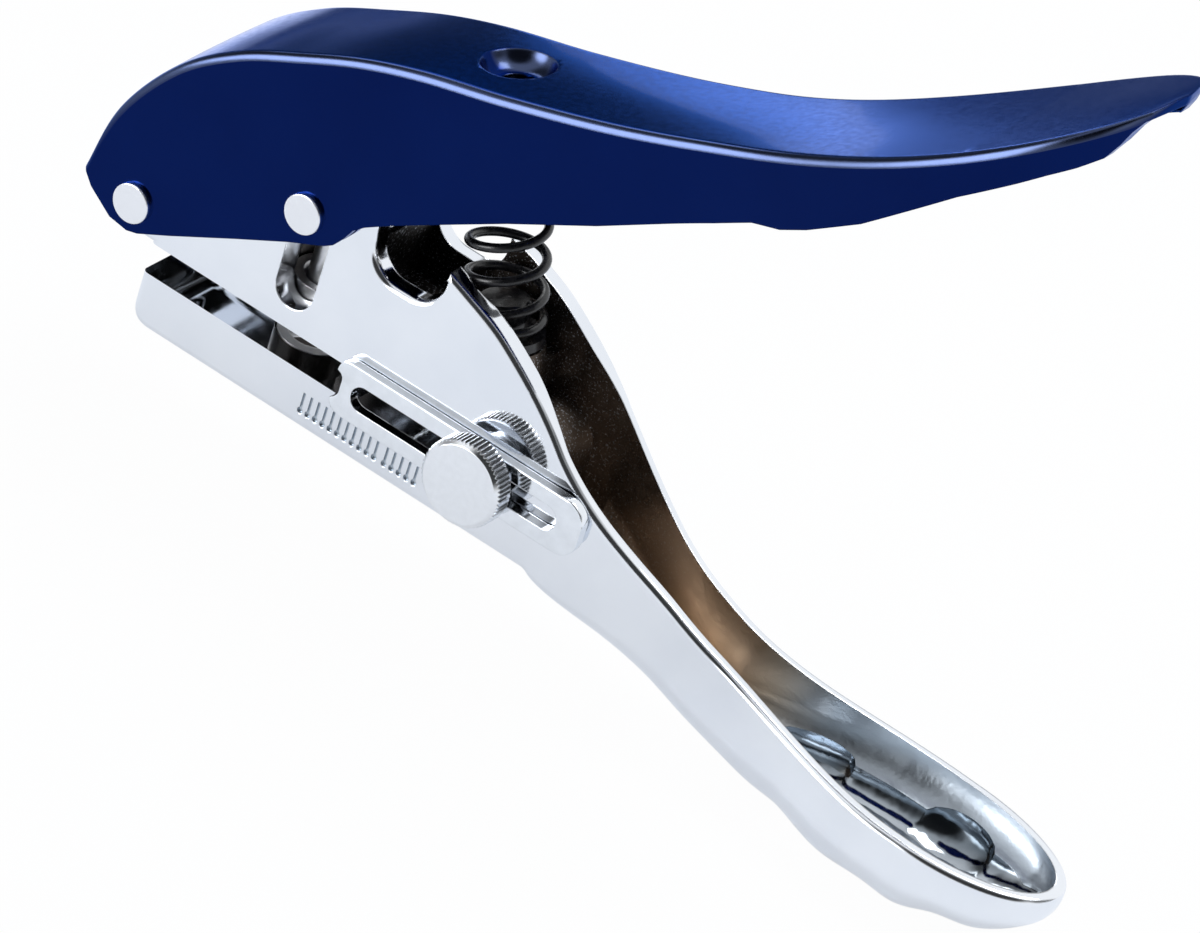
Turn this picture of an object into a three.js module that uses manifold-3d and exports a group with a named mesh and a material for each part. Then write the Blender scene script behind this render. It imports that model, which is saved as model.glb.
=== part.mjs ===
// Single hole punch with a cast lower handle, a pressed steel lever and a sliding depth gauge.
// Millimetres, +Z up. X runs along the throat from the nose to the tails of the handles, and Y = 0
// is the mid plane. Every shape is drawn about the pivot axis, and the assembly is then moved so
// that its origin lies on the flat underside of the lower jaw, below the thumb screw.

import * as THREE from 'three';
import { mergeVertices } from 'three/addons/utils/BufferGeometryUtils.js';
import Module from 'manifold-3d';

const wasm = await Module();
wasm.setup();

// Fits that all pieces share
const clearance = 0.3;
const slideGap = 0.15;
const cutOverrun = 2;
const seamStep = 0.02;
const leastStep = 0.01;
const arcSteps = 8;

// Pivot and drive pins
const pivotPinRadius = 2;
const driveX = 23.67;
const driveZ = 12.44;
const drivePinRadius = 1.25;
const pinHeadRadius = 2.75;
const pinHeadThickness = 0.75;
const pinHeadEdge = 0.25;
const closingAngle = THREE.MathUtils.degToRad(13.5);

// Cast frame: head, throat and lower jaw
const cheekHalf = 8.4;
const frameEdge = 0.9;
const rimEdge = 0.6;
const noseRadius = 5.2;
const headRiseX = 11;
const headRearX = 32.3;
const headTopZ = 19;
const throatTopZ = -4.9;
const throatGap = 4.35;
const throatEndX = 52.3;
const jawHeight = 7.55;
const jawFrontX = 3;
const jawNoseRadius = 3;
const frameEndX = 66;
const notchHalf = 5.4;
const notchCorner = 4.2;
const notchX = 38.7;
const notchFloorZ = 9;
const rimStartZ = 15;
const slotBottomZ = -2;
const slotTopZ = 17.5;

// Lower handle
const tailRimZ = -20.4;
const taperStartX = 66;
const waistX = 86;
const waistHalf = 5.5;
const spreadX = 92;
const palmX = 126;
const palmHalf = 9.9;
const palmEnd = 18.2;
const tailX = palmX + palmEnd;
const bellyZ = -30;
const cheekWall = 2.8;
const handleWall = 1.6;
const handleFloor = 2.2;
const wallStepX = 67.2;
const cornerStartX = 66;
const cornerFullX = 86;
const pocketStartX = 101.1;
const pocketPitch = 10.5;
const trayFloorZ = -24.2;
const pocketStep = 2.1;
const pocketDepth = 0.9;
const pocketFloor = 1.6;
const pocketCornerShare = 0.75;
const pocketHalfShare = 0.62;
const pocketBowShare = 0.2;
const pocketCountShare = 3.8;
const lowCornerShare = 0.78;
const hollowCornerShare = 0.72;
const tailCloseShare = 0.995;
const grooveOneX = 107;
const grooveTwoX = 121.5;
const grooveThreeX = 132.4;
const grooveFourX = 143.4;
const bulgeDepth = 1;

// Spring bay
const bayStartX = 33.3;
const bayEndX = 55.3;
const bayFloorZ = 4.5;
const cavityStartX = 55.2;

// Ruler grooves on the near side of the jaw
const tickStartX = 30.1;
const tickPitch = 1.18;
const tickWideGap = 1.57;
const ticksBeforeGap = 11;
const ticksAfterGap = 5;
const tickWidth = 0.36;
const tickDepth = 0.3;
const tickLength = 2.6;
const tickLowZ = -14.4;
const tickDotRadius = 0.42;

// Punch rod, guide and die
const punchX = 24.45;
const punchRadius = 3;
const punchTipAboveThroat = 0.35;
const punchGrindRadius = 5.4;
const punchGrindDepth = 0.85;
const rodHeadRadius = 4.85;
const rodHeadBelow = 4.3;
const rodHeadAbove = 4.6;
const guideLip = 1;
const guideTopZ = -0.3;
const dieWall = 1.6;
const dieHeight = 3.4;
const dieLand = 1.6;
const dieRelief = 0.5;
const chadHoleWall = 0.4;

// Upper handle, pressed from sheet
const sheet = 1.2;
const leverSideGap = 0.5;
const leverPalmHalf = 14.4;
const leverFlareX = 70;
const leverPalmX = 105;
const leverTailX = 124;
const leverTailZ = 85.3;
const leverTailPower = 2.45;
const leverEdgeWidth = 2.4;
const leverEdgeDrop = 0.5;
const crownHeight = 0.2;
const skirtLowZ = -9;
const dimpleX = 40.6;
const dimpleFlare = 2.5;
const bossSpringGap = 0.76;
const dimpleDepth = 2.3;
const dimpleBoss = 4.45;
const tailWall = 1.44;
const mostStretch = 3;

// Return spring and its seat
const wireRadius = 0.62;
const springSideGap = 0.1;
const springTopDrop = 2.9;
const springLength = 32.3;
const springCoils = 8;
const springEndPitch = 1.9;
const springStartTurn = 0.545;
const springSteps = 8;
const springSides = 5;
const seatThickness = 1.5;
const seatStemGap = 0.86;
const seatStemHeight = 4.2;
const bayWallGap = 0.5;
const pedestalDepth = 6;

// Gauge plate and thumb screw
const screwX = 57;
const screwZ = -6.9;
const screwRadius = 1.6;
const screwDepth = 11;
const screwBossRadius = 6.3;
const plateThickness = 1.55;
const plateEdge = 0.2;
const plateFrontX = 34.3;
const plateRearX = 72.8;
const plateHeight = 7.9;
const plateRearCorner = 2.9;
const plateSlotFrontX = 37.1;
const plateSlotRearX = 69.2;
const tabFrontX = 35.3;
const tabThickness = 1.5;
const tabReach = 14.5;
const knobRadius = 5.9;
const knobThickness = 3.2;
const knobEdge = 0.35;
const collarRadius = 4;
const collarThickness = 0.75;
const knurlDepth = 0.28;
const knurlTeeth = 60;

// Places that follow from the sizes above
const jawTopZ = throatTopZ - throatGap;
const jawBottomZ = jawTopZ - jawHeight;
const driveReach = Math.hypot(driveX, driveZ);
const driveAngle = Math.atan2(driveZ, driveX);
const driveClosedX = driveReach * Math.cos(driveAngle - closingAngle);
const driveClosedZ = driveReach * Math.sin(driveAngle - closingAngle);
const punchTravel = driveZ - driveClosedZ;
const slotHalf = driveClosedX + drivePinRadius + clearance - punchX;
const rodBoreRadius = rodHeadRadius + clearance;
const rimStartX = notchX + notchHalf;
const leverHalf = cheekHalf + leverSideGap + sheet;
const springRadius = cheekHalf - cheekWall - springSideGap - wireRadius;
const dimpleThroatRadius = springRadius - wireRadius - bossSpringGap - sheet;
const dimpleMouthRadius = dimpleThroatRadius + dimpleFlare;
const seatRadius = springRadius + wireRadius - springSideGap;
const seatStemRadius = springRadius - wireRadius - seatStemGap;
const plateInnerY = -cheekHalf - slideGap;
const plateOuterY = plateInnerY - plateThickness;

// Shares of the rim line: along the rim to the tail, and of the drop from its start to the tail
const rimLineShares = [
  [0, 1], [0.034, 0.963], [0.087, 0.9], [0.133, 0.818], [0.17, 0.74], [0.201, 0.662],
  [0.228, 0.585], [0.271, 0.482], [0.316, 0.393], [0.371, 0.304], [0.454, 0.2], [0.527, 0.137],
  [0.617, 0.083], [0.739, 0.036], [0.844, 0.017], [1, 0],
];
// Shares of the underside: along from the frame's end to the tail, and of the drop to the belly
const bellyLineShares = [
  [0, 0], [0.018, 0.068], [0.081, 0.22], [0.142, 0.356], [0.203, 0.492], [0.266, 0.621],
  [0.329, 0.75], [0.394, 0.852], [0.46, 0.93], [0.524, 0.947], [0.614, 0.973], [0.71, 0.996],
  [0.78, 0.939], [0.849, 0.86], [0.89, 0.795], [0.93, 0.712], [0.968, 0.644], [0.992, 0.545],
  [1, 0.394],
];
// Shares of the lever's top line: of the tail's distance and height from the pivot
const leverTopShares = [
  [-0.0668, 0.0094], [-0.0476, 0.1266], [0.0054, 0.2462], [0.0661, 0.32], [0.1339, 0.374],
  [0.1992, 0.4197], [0.2653, 0.4543], [0.3677, 0.4947], [0.5, 0.5569], [0.6274, 0.6342],
  [0.7282, 0.7151], [0.8468, 0.83], [1, 1],
];
// Shares of the lever's lower edge, from the flange's nose to its tail, of the same two sizes
const flangeLowShares = [
  [-0.0668, 0.0094], [-0.052, -0.016], [-0.0221, -0.0445], [0.0012, -0.0494], [0.0142, -0.0442],
  [0.0504, -0.0168], [0.1262, 0.0437], [0.1814, 0.0865], [0.2226, 0.115], [0.2315, 0.1245],
  [0.2409, 0.1443], [0.2478, 0.1639], [0.2595, 0.1797], [0.2877, 0.2075], [0.3455, 0.2597],
  [0.4074, 0.315], [0.5006, 0.3921], [0.6203, 0.503], [0.6593, 0.5409], [0.692, 0.5603],
  [0.721, 0.588], [0.7758, 0.6508], [0.8613, 0.7726], [0.9111, 0.8347], [0.9339, 0.864],
  [0.9548, 0.8886], [0.9718, 0.9121], [0.979, 0.9355], [0.9835, 0.9566], [0.989, 0.9735],
  [1.02, 1],
];

// Shares of the lever's rounded edge from the flange inwards: of its width inwards and its drop
const leverEdgeShares = [
  [0, 2.4], [0.02, 1.9], [0.05, 1.5], [0.1, 0.98], [0.16, 0.55], [0.24, 0.27], [0.34, 0.1], [0.5, 0],
];
// Shares of the crown between the edges: of the half width, and of the crown's height there
const crownShares = [0.45, 0.7];
// Shares of the sunk hole's wall: of the mouth's radius, and of the depth
const dimpleShares = [[0.68, 0.97], [0.86, 0.45], [0.95, 0.16], [1, 0]];
// Shares of the plate's nose, along and up, of a quarter of the plate's height
const noseLobeShares = [1.1, 1.6, 0.4, 1.3, 0.9, 1.5];

// A smooth line through points that rise in x, which gives its height at any x
function smoothLine(points) {
  const slopes = points.map((point, i) => {
    const before = points[Math.max(i - 1, 0)];
    const after = points[Math.min(i + 1, points.length - 1)];
    return (after[1] - before[1]) / (after[0] - before[0]);
  });
  return (x) => {
    let i = points.findIndex((point) => point[0] > x) - 1;
    if (i === -2) i = points.length - 2;
    i = Math.max(i, 0);
    const width = points[i + 1][0] - points[i][0];
    const t = THREE.MathUtils.clamp((x - points[i][0]) / width, 0, 1);
    const rise = points[i + 1][1] - points[i][1];
    const start = slopes[i] * width;
    const end = slopes[i + 1] * width;
    return points[i][1] + start * t + (3 * rise - 2 * start - end) * t * t
      + (start + end - 2 * rise) * t * t * t;
  };
}

const between = (from, to, share) => from + (to - from) * share;
const easeOver = (x, from, to) => THREE.MathUtils.smoothstep(x, Math.min(from, to), Math.max(from, to));

// Closed solids and booleans
function toSolid(geometry) {
  const bare = geometry.index ? geometry.toNonIndexed() : geometry.clone();
  bare.deleteAttribute('normal');
  bare.deleteAttribute('uv');
  const merged = mergeVertices(bare);
  return new wasm.Manifold(new wasm.Mesh({
    numProp: 3,
    vertProperties: new Float32Array(merged.attributes.position.array),
    triVerts: new Uint32Array(merged.index.array),
  }));
}

function toGeometry(solid) {
  const mesh = solid.getMesh();
  const geometry = new THREE.BufferGeometry();
  geometry.setAttribute('position', new THREE.BufferAttribute(new Float32Array(mesh.vertProperties), 3));
  geometry.setIndex(new THREE.BufferAttribute(new Uint32Array(mesh.triVerts), 1));
  return geometry;
}

const cut = (solid, tools) => tools.reduce((rest, tool) => rest.subtract(tool), solid);

// The same outline as straight lines, without points that lie on top of each other
function tidyOutline(shape) {
  const points = shape.getPoints(arcSteps);
  const kept = points.filter((point, i) =>
    point.distanceTo(points[(i + points.length - 1) % points.length]) > leastStep);
  return new THREE.Shape(kept);
}

// A side view outline, x and z, made into a slab across the width with rounded side edges
function slab(shape, fromY, toY, edge = 0, edgeSteps = 2) {
  const outline = tidyOutline(shape);
  const geometry = new THREE.ExtrudeGeometry(outline, {
    depth: toY - fromY - 2 * edge,
    bevelEnabled: edge > 0,
    bevelSize: edge,
    bevelThickness: edge,
    bevelOffset: -edge,
    bevelSegments: edgeSteps,
  });
  geometry.rotateX(Math.PI / 2);
  geometry.translate(0, toY - edge, 0);
  return toSolid(geometry);
}

function outlineOf(points) {
  return new THREE.Shape(points.map((point) => new THREE.Vector2(point[0], point[1])));
}

function circleShape(x, z, radius) {
  const shape = new THREE.Shape();
  shape.absarc(x, z, radius, 0, 2 * Math.PI);
  return shape;
}

// A slot with round ends between two centres
function slotShape(fromX, fromZ, toX, toZ, radius) {
  const turn = Math.atan2(toZ - fromZ, toX - fromX);
  const shape = new THREE.Shape();
  shape.absarc(toX, toZ, radius, turn - Math.PI / 2, turn + Math.PI / 2);
  shape.absarc(fromX, fromZ, radius, turn + Math.PI / 2, turn + 1.5 * Math.PI);
  shape.closePath();
  return shape;
}

// A turned solid about an axis that starts at a point and runs along a direction
function turned(profile, steps, origin, direction) {
  const points = profile.map((point) => new THREE.Vector2(point[0], point[1]));
  const geometry = new THREE.LatheGeometry(points, steps);
  const spin = new THREE.Quaternion().setFromUnitVectors(new THREE.Vector3(0, 1, 0), direction);
  geometry.applyQuaternion(spin);
  geometry.translate(origin.x, origin.y, origin.z);
  return toSolid(geometry);
}

function cylinder(radius, from, to, steps = 32) {
  const length = from.distanceTo(to);
  const direction = to.clone().sub(from).normalize();
  return turned([[0, 0], [radius, 0], [radius, length], [0, length]], steps, from, direction);
}

// A solid through rings of points that lie in planes across X, counter-clockwise seen from +X
function loft(rings) {
  const count = rings[0].length;
  const positions = rings.flat().flatMap((point) => [point.x, point.y, point.z]);
  const indices = [];
  for (let i = 0; i + 1 < rings.length; i += 1) {
    for (let j = 0; j < count; j += 1) {
      const next = (j + 1) % count;
      const a = i * count + j;
      const b = i * count + next;
      const c = (i + 1) * count + next;
      const d = (i + 1) * count + j;
      indices.push(a, b, c, a, c, d);
    }
  }
  const capOf = (ring) => THREE.ShapeUtils.triangulateShape(
    ring.map((point) => new THREE.Vector2(point.y, point.z)), []);
  capOf(rings[0]).forEach(([a, b, c]) => indices.push(c, b, a));
  const last = (rings.length - 1) * count;
  capOf(rings[rings.length - 1]).forEach(([a, b, c]) => indices.push(last + a, last + b, last + c));
  const geometry = new THREE.BufferGeometry();
  geometry.setAttribute('position', new THREE.Float32BufferAttribute(positions, 3));
  geometry.setIndex(indices);
  return toSolid(geometry);
}

// A quarter arc of points in the cross plane
function arcPoints(x, centreY, centreZ, radius, fromTurn, steps) {
  return Array.from({ length: steps + 1 }, (unused, i) => {
    const turn = (fromTurn + i / steps / 4) * 2 * Math.PI;
    return new THREE.Vector3(x, centreY + radius * Math.cos(turn), centreZ + radius * Math.sin(turn));
  });
}

// Cross section of the cast handle: round lower corners, and small round top edges
function troughRing(x, half, topZ, bottomZ, lowRadius, topRadius) {
  return [
    ...arcPoints(x, half - lowRadius, bottomZ + lowRadius, lowRadius, 0.75, 5),
    ...arcPoints(x, half - topRadius, topZ - topRadius, topRadius, 0, 2),
    ...arcPoints(x, topRadius - half, topZ - topRadius, topRadius, 0.25, 2),
    ...arcPoints(x, lowRadius - half, bottomZ + lowRadius, lowRadius, 0.5, 5),
  ];
}

// Lines of the lower handle
const rimZ = smoothLine(rimLineShares.map(([along, rise]) => [
  between(rimStartX, tailX, along), between(tailRimZ, rimStartZ, rise),
]));
const bellyLineZ = smoothLine(bellyLineShares.map(([along, drop]) => [
  between(frameEndX, tailX, along), between(jawBottomZ, bellyZ, drop),
]));
const handleHalf = (x) => {
  if (x < spreadX) return between(cheekHalf, waistHalf, easeOver(x, taperStartX, waistX));
  if (x < palmX) return between(waistHalf, palmHalf, easeOver(x, spreadX, palmX - cheekWall));
  return palmHalf * Math.sqrt(Math.max(0, 1 - ((x - palmX) / (tailX - palmX)) ** 2));
};
const grooves = [grooveOneX, grooveTwoX, grooveThreeX, grooveFourX];
const bulge = (x) => {
  const i = grooves.findIndex((groove) => groove > x);
  if (i < 1) return 0;
  return bulgeDepth * Math.sin(Math.PI * (x - grooves[i - 1]) / (grooves[i] - grooves[i - 1])) ** 2;
};
const undersideZ = (x) => bellyLineZ(x) - bulge(x);
const floorZ = (x) => Math.max(bellyLineZ(x) + handleFloor, trayFloorZ);
const cornerRadius = (x, half) =>
  between(frameEdge, lowCornerShare * half, easeOver(x, cornerStartX, cornerFullX));

// Stations along the handle: even at first, then closer and closer round the tail
function handleStations(from, to, even, round) {
  const stations = [];
  for (let i = 0; i < even; i += 1) stations.push(between(from, palmX, i / even));
  for (let i = 0; i <= round; i += 1) {
    stations.push(between(palmX, to, Math.sin((i / round) * Math.PI / 2)));
  }
  return stations;
}

function handleOuter() {
  const from = frameEndX - 3 * cheekWall / 2;
  return loft(handleStations(from, between(palmX, tailX, tailCloseShare), 32, 12).map((x) => {
    const half = handleHalf(x) - seamStep;
    const top = rimZ(x) - seamStep;
    const low = Math.min(undersideZ(x) + seamStep, top - 2 * frameEdge);
    const radius = Math.min(cornerRadius(x, half), tailCloseShare * half, (top - low) / 2);
    const topRadius = between(frameEdge, rimEdge, easeOver(x, cornerStartX, cornerFullX));
    return troughRing(x, half, top, low, radius, Math.min(topRadius, half / 3));
  }));
}

// The hollow of the tray behind the wall step, open at the top
const tailEnd = tailX - handleWall;
const innerHalf = (x) => {
  if (x < palmX) return handleHalf(x) - handleWall;
  const share = (x - palmX) / (tailEnd - palmX);
  return (palmHalf - handleWall) * Math.sqrt(Math.max(0, 1 - share ** 2));
};

function handleHollow() {
  return loft(handleStations(wallStepX, between(palmX, tailEnd, tailCloseShare), 28, 12).map((x) => {
    const half = innerHalf(x);
    const top = rimZ(x) + 3 * cutOverrun;
    const low = Math.min(floorZ(x), rimZ(x) - frameEdge);
    const radius = Math.min(hollowCornerShare * half, (top - low) / 2);
    return troughRing(x, half, top, low, radius, half / 12);
  }));
}

// Finger pockets scooped out of the tray's floor, deeper ones with bowed sides and plain ones in turn
function fingerPockets() {
  const steps = 6;
  const rings = [];
  for (let i = 0; i <= pocketCountShare * steps; i += 1) {
    const x = pocketStartX + (pocketPitch * i) / steps;
    const share = (i % steps) / steps;
    const hollow = Math.floor(i / steps) % 2 === 0;
    const bow = hollow ? 1 - (2 * share - 1) ** 2 : 0;
    const half = innerHalf(x) * (pocketHalfShare + pocketBowShare * Math.sqrt(bow));
    const low = Math.max(floorZ(x) - pocketStep - pocketDepth * bow, bellyLineZ(x) + pocketFloor);
    rings.push(troughRing(x, half, rimZ(x) + 3 * cutOverrun, low, pocketCornerShare * half, half / 12));
  }
  return loft(rings);
}

// The hollow between the cheeks, from behind the throat to the wall step
function cheekHollow() {
  const half = cheekHalf - cheekWall;
  const floor = jawBottomZ + handleFloor + frameEdge;
  const stations = [cavityStartX, between(cavityStartX, wallStepX, 0.5), wallStepX + seamStep];
  const topAt = (x) => rimZ(x) + 2 * cutOverrun;
  return loft(stations.map((x) => troughRing(x, half, topAt(x), floor, frameEdge, frameEdge)));
}

// Side view of the cast frame: head, jaw and the first part of the rim
function frameShape() {
  const shape = new THREE.Shape();
  shape.moveTo(jawFrontX, jawTopZ);
  shape.lineTo(jawFrontX, throatTopZ);
  shape.lineTo(0, throatTopZ);
  shape.absarc(0, throatTopZ + noseRadius, noseRadius, 1.5 * Math.PI, Math.PI, true);
  shape.quadraticCurveTo(-noseRadius, headTopZ / 2, headRiseX, headTopZ);
  shape.lineTo(headRearX, headTopZ);
  const notchTurnZ = notchFloorZ + notchCorner;
  const notchFlat = notchHalf - notchCorner;
  shape.lineTo(notchX - notchHalf, notchTurnZ);
  shape.absarc(notchX - notchFlat, notchTurnZ, notchCorner, Math.PI, 1.5 * Math.PI);
  shape.absarc(notchX + notchFlat, notchTurnZ, notchCorner, 1.5 * Math.PI, 2 * Math.PI);
  shape.lineTo(rimStartX, rimStartZ);
  const steps = 12;
  for (let i = 1; i <= steps; i += 1) {
    const x = between(rimStartX, frameEndX, i / steps);
    shape.lineTo(x, rimZ(x));
  }
  shape.lineTo(frameEndX, jawBottomZ);
  shape.lineTo(jawFrontX + jawNoseRadius, jawBottomZ);
  shape.quadraticCurveTo(jawFrontX, jawBottomZ, jawFrontX, jawBottomZ + jawNoseRadius);
  return shape;
}

// The throat, open to the nose and to both sides, with a round end
function throatShape() {
  const round = throatGap / 2;
  const front = -noseRadius - cutOverrun;
  const shape = new THREE.Shape();
  shape.moveTo(front, throatTopZ);
  shape.lineTo(front, jawTopZ);
  shape.absarc(throatEndX - round, jawTopZ + round, round, -Math.PI / 2, Math.PI / 2);
  return shape;
}

// The lever's top line, as points and unit tangents along its length
const leverSpans = 46;
const leverTailSpans = 12;
const leverTailShare = 0.87;
const leverCurve = new THREE.CatmullRomCurve3(leverTopShares.map(([along, rise]) =>
  new THREE.Vector3(along * leverTailX, 0, rise * leverTailZ)), false, 'centripetal');
const leverShares = [
  ...Array.from({ length: leverSpans }, (unused, i) => leverTailShare * i / leverSpans),
  ...Array.from({ length: leverTailSpans }, (unused, i) =>
    between(leverTailShare, 1, Math.sin((i / leverTailSpans) * Math.PI / 2))),
];
const leverPoints = leverShares.map((share) => leverCurve.getPointAt(share));
const leverTangents = leverShares.map((share) => leverCurve.getTangentAt(share));

// The frame of the sunk hole: the lever's top surface and its normal there, which the spring follows
const dimpleIndex = leverPoints.findIndex((point) => point.x > dimpleX);
const dimpleShare = (dimpleX - leverPoints[dimpleIndex - 1].x)
  / (leverPoints[dimpleIndex].x - leverPoints[dimpleIndex - 1].x);
const dimplePoint = leverPoints[dimpleIndex - 1].clone().lerp(leverPoints[dimpleIndex], dimpleShare);
const dimpleTangent = leverTangents[dimpleIndex - 1].clone().lerp(leverTangents[dimpleIndex], dimpleShare);
const springUp = new THREE.Vector3(-dimpleTangent.z, 0, dimpleTangent.x).normalize();
const alongSpring = (origin, distance) => origin.clone().addScaledVector(springUp, distance);
const springTop = alongSpring(dimplePoint, -springTopDrop);
const springFoot = alongSpring(springTop, -springLength);

function leverHalfAt(x, inset) {
  const palm = leverPalmHalf - inset;
  const narrow = leverHalf - inset;
  if (x < leverPalmX) return between(narrow, palm, easeOver(x, leverFlareX, leverPalmX));
  const share = THREE.MathUtils.clamp((x - leverPalmX) / (leverTailX - inset - leverPalmX), 0, 1);
  return palm * (1 - share ** leverTailPower) ** (1 / leverTailPower);
}

// Cross section of the pressed channel, filled: a soft round edge on each side and a slight crown between
function channelRing(x, half, topZ, stretch) {
  const scale = Math.min(1, half / (3 * leverEdgeWidth));
  const wide = leverEdgeWidth * scale;
  const high = leverEdgeDrop * stretch * scale;
  const side = [
    [half, skirtLowZ],
    ...leverEdgeShares.map(([inward, down]) => [half - inward * wide, topZ - down * high]),
    [crownShares[0] * half, topZ + crownShares[1] * crownHeight * scale],
  ];
  return [
    ...side.map(([y, z]) => new THREE.Vector3(x, y, z)),
    new THREE.Vector3(x, 0, topZ + crownHeight * scale),
    ...side.reverse().map(([y, z]) => new THREE.Vector3(x, -y, z)),
  ];
}

// Cross section of the channel's inside
function channelHollowRing(x, half, topZ, stretch) {
  const radius = Math.min(leverEdgeDrop * stretch, half / 2);
  const round = radius / 3;
  const low = skirtLowZ - cutOverrun;
  return [
    new THREE.Vector3(x, -half, low), new THREE.Vector3(x, half, low),
    new THREE.Vector3(x, half, topZ - radius), new THREE.Vector3(x, half - round, topZ - round),
    new THREE.Vector3(x, half - radius, topZ), new THREE.Vector3(x, radius - half, topZ),
    new THREE.Vector3(x, round - half, topZ - round), new THREE.Vector3(x, -half, topZ - radius),
  ];
}

const stretchAt = (tangent) => 1 / Math.max(tangent.x, 1 / mostStretch);

function leverOuter() {
  return loft(leverPoints.map((point, i) =>
    channelRing(point.x, leverHalfAt(point.x, 0), point.z, stretchAt(leverTangents[i]))));
}

function leverHollow() {
  const rings = leverPoints.map((point, i) => {
    const tangent = leverTangents[i];
    return { x: point.x + tangent.z * sheet, z: point.z - tangent.x * sheet, stretch: stretchAt(tangent) };
  }).filter((ring) => ring.x < leverTailX - tailWall);
  return loft(rings.map((ring) =>
    channelHollowRing(ring.x, leverHalfAt(ring.x, sheet), ring.z, ring.stretch)));
}

// Side view of the lever, which trims the lower edge of both flanges
function leverSideShape() {
  const low = flangeLowShares.map(([along, rise]) => [along * leverTailX, rise * leverTailZ]);
  const front = low[0][0] - cutOverrun;
  const high = leverTailZ + cutOverrun;
  const rear = low[low.length - 1][0] + cutOverrun;
  return outlineOf([[front, high], [front, low[0][1]], ...low, [rear, low[low.length - 1][1]], [rear, high]]);
}

function dimpleBossSolid() {
  const bossRadius = dimpleThroatRadius + sheet;
  const footRadius = dimpleMouthRadius + sheet / 2;
  return turned([
    [0, -dimpleBoss - sheet / 2], [bossRadius, -dimpleBoss - sheet / 2], [bossRadius, -dimpleDepth - sheet],
    [footRadius, -sheet - crownHeight], [footRadius, -sheet / 2], [0, -sheet / 2],
  ], 32, dimplePoint, springUp);
}

function dimpleHole() {
  return turned([
    [0, -2 * dimpleBoss], [dimpleThroatRadius, -2 * dimpleBoss],
    [dimpleThroatRadius, crownHeight - dimpleDepth],
    ...dimpleShares.map(([out, down]) => [out * dimpleMouthRadius, crownHeight - down * dimpleDepth]),
    [dimpleMouthRadius, cutOverrun], [0, cutOverrun],
  ], 32, dimplePoint, springUp);
}

function upperHandle() {
  const shell = leverOuter().subtract(leverHollow());
  const trimmed = shell.intersect(slab(leverSideShape(), -2 * leverPalmHalf, 2 * leverPalmHalf));
  const holes = [
    slab(circleShape(0, 0, pivotPinRadius + clearance), -leverPalmHalf, leverPalmHalf),
    slab(circleShape(driveX, driveZ, drivePinRadius + clearance), -leverPalmHalf, leverPalmHalf),
  ];
  return cut(trimmed.add(dimpleBossSolid()), [dimpleHole(), ...holes]);
}

// A pin with a flat round head at each end, both heads lying on the lever's flanges
function headedPin(x, z, shankRadius) {
  const headRadius = pinHeadRadius;
  const inner = leverHalf;
  const outer = leverHalf + pinHeadThickness;
  const half = [
    [shankRadius, inner], [headRadius, inner], [headRadius, outer - pinHeadEdge],
    [headRadius - pinHeadEdge / 3, outer - pinHeadEdge / 3], [headRadius - pinHeadEdge, outer], [0, outer],
  ];
  const profile = [...half.map(([radius, y]) => [radius, -y]).reverse(), ...half];
  return turned(profile, 40, new THREE.Vector3(x, 0, z), new THREE.Vector3(0, 1, 0));
}

function punchRod() {
  const tipZ = throatTopZ + punchTipAboveThroat;
  const headZ = driveZ - rodHeadBelow;
  const topZ = driveZ + rodHeadAbove;
  const edge = clearance;
  const body = turned([
    [0, tipZ], [punchRadius, tipZ], [punchRadius, headZ], [rodHeadRadius - edge, headZ],
    [rodHeadRadius, headZ + edge], [rodHeadRadius, topZ - edge], [rodHeadRadius - edge, topZ], [0, topZ],
  ], 40, new THREE.Vector3(punchX, 0, 0), new THREE.Vector3(0, 0, 1));
  const crossHole = slab(
    slotShape(driveX, driveZ, driveClosedX, driveZ, drivePinRadius + clearance),
    -2 * rodHeadRadius, 2 * rodHeadRadius);
  const grindZ = tipZ + punchGrindDepth - punchGrindRadius;
  const grind = slab(circleShape(punchX, grindZ, punchGrindRadius), -2 * punchRadius, 2 * punchRadius);
  return cut(body, [crossHole, grind]);
}

function ringAbout(x, lowZ, highZ, outerRadius, innerRadius) {
  const axis = new THREE.Vector3(0, 0, 1);
  const edge = Math.min(clearance, (outerRadius - innerRadius) / 4);
  return turned([
    [innerRadius, lowZ], [outerRadius - edge, lowZ], [outerRadius, lowZ + edge], [outerRadius, highZ],
    [innerRadius + edge, highZ], [innerRadius, highZ - edge], [innerRadius, lowZ],
  ], 40, new THREE.Vector3(x, 0, 0), axis);
}

const guideOuterRadius = rodBoreRadius - clearance;
const guideInnerRadius = punchRadius + clearance;
const dieOuterRadius = punchRadius + clearance / 2 + dieWall;
const chadHoleRadius = dieOuterRadius - chadHoleWall;

function dieBush() {
  const axis = new THREE.Vector3(0, 0, 1);
  const bore = punchRadius + clearance;
  const low = jawTopZ - dieHeight;
  return turned([
    [bore + dieRelief, low], [dieOuterRadius, low], [dieOuterRadius, jawTopZ], [bore, jawTopZ],
    [bore, jawTopZ - dieLand], [bore + dieRelief, jawTopZ - dieLand], [bore + dieRelief, low],
  ], 40, new THREE.Vector3(punchX, 0, 0), axis);
}

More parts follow.
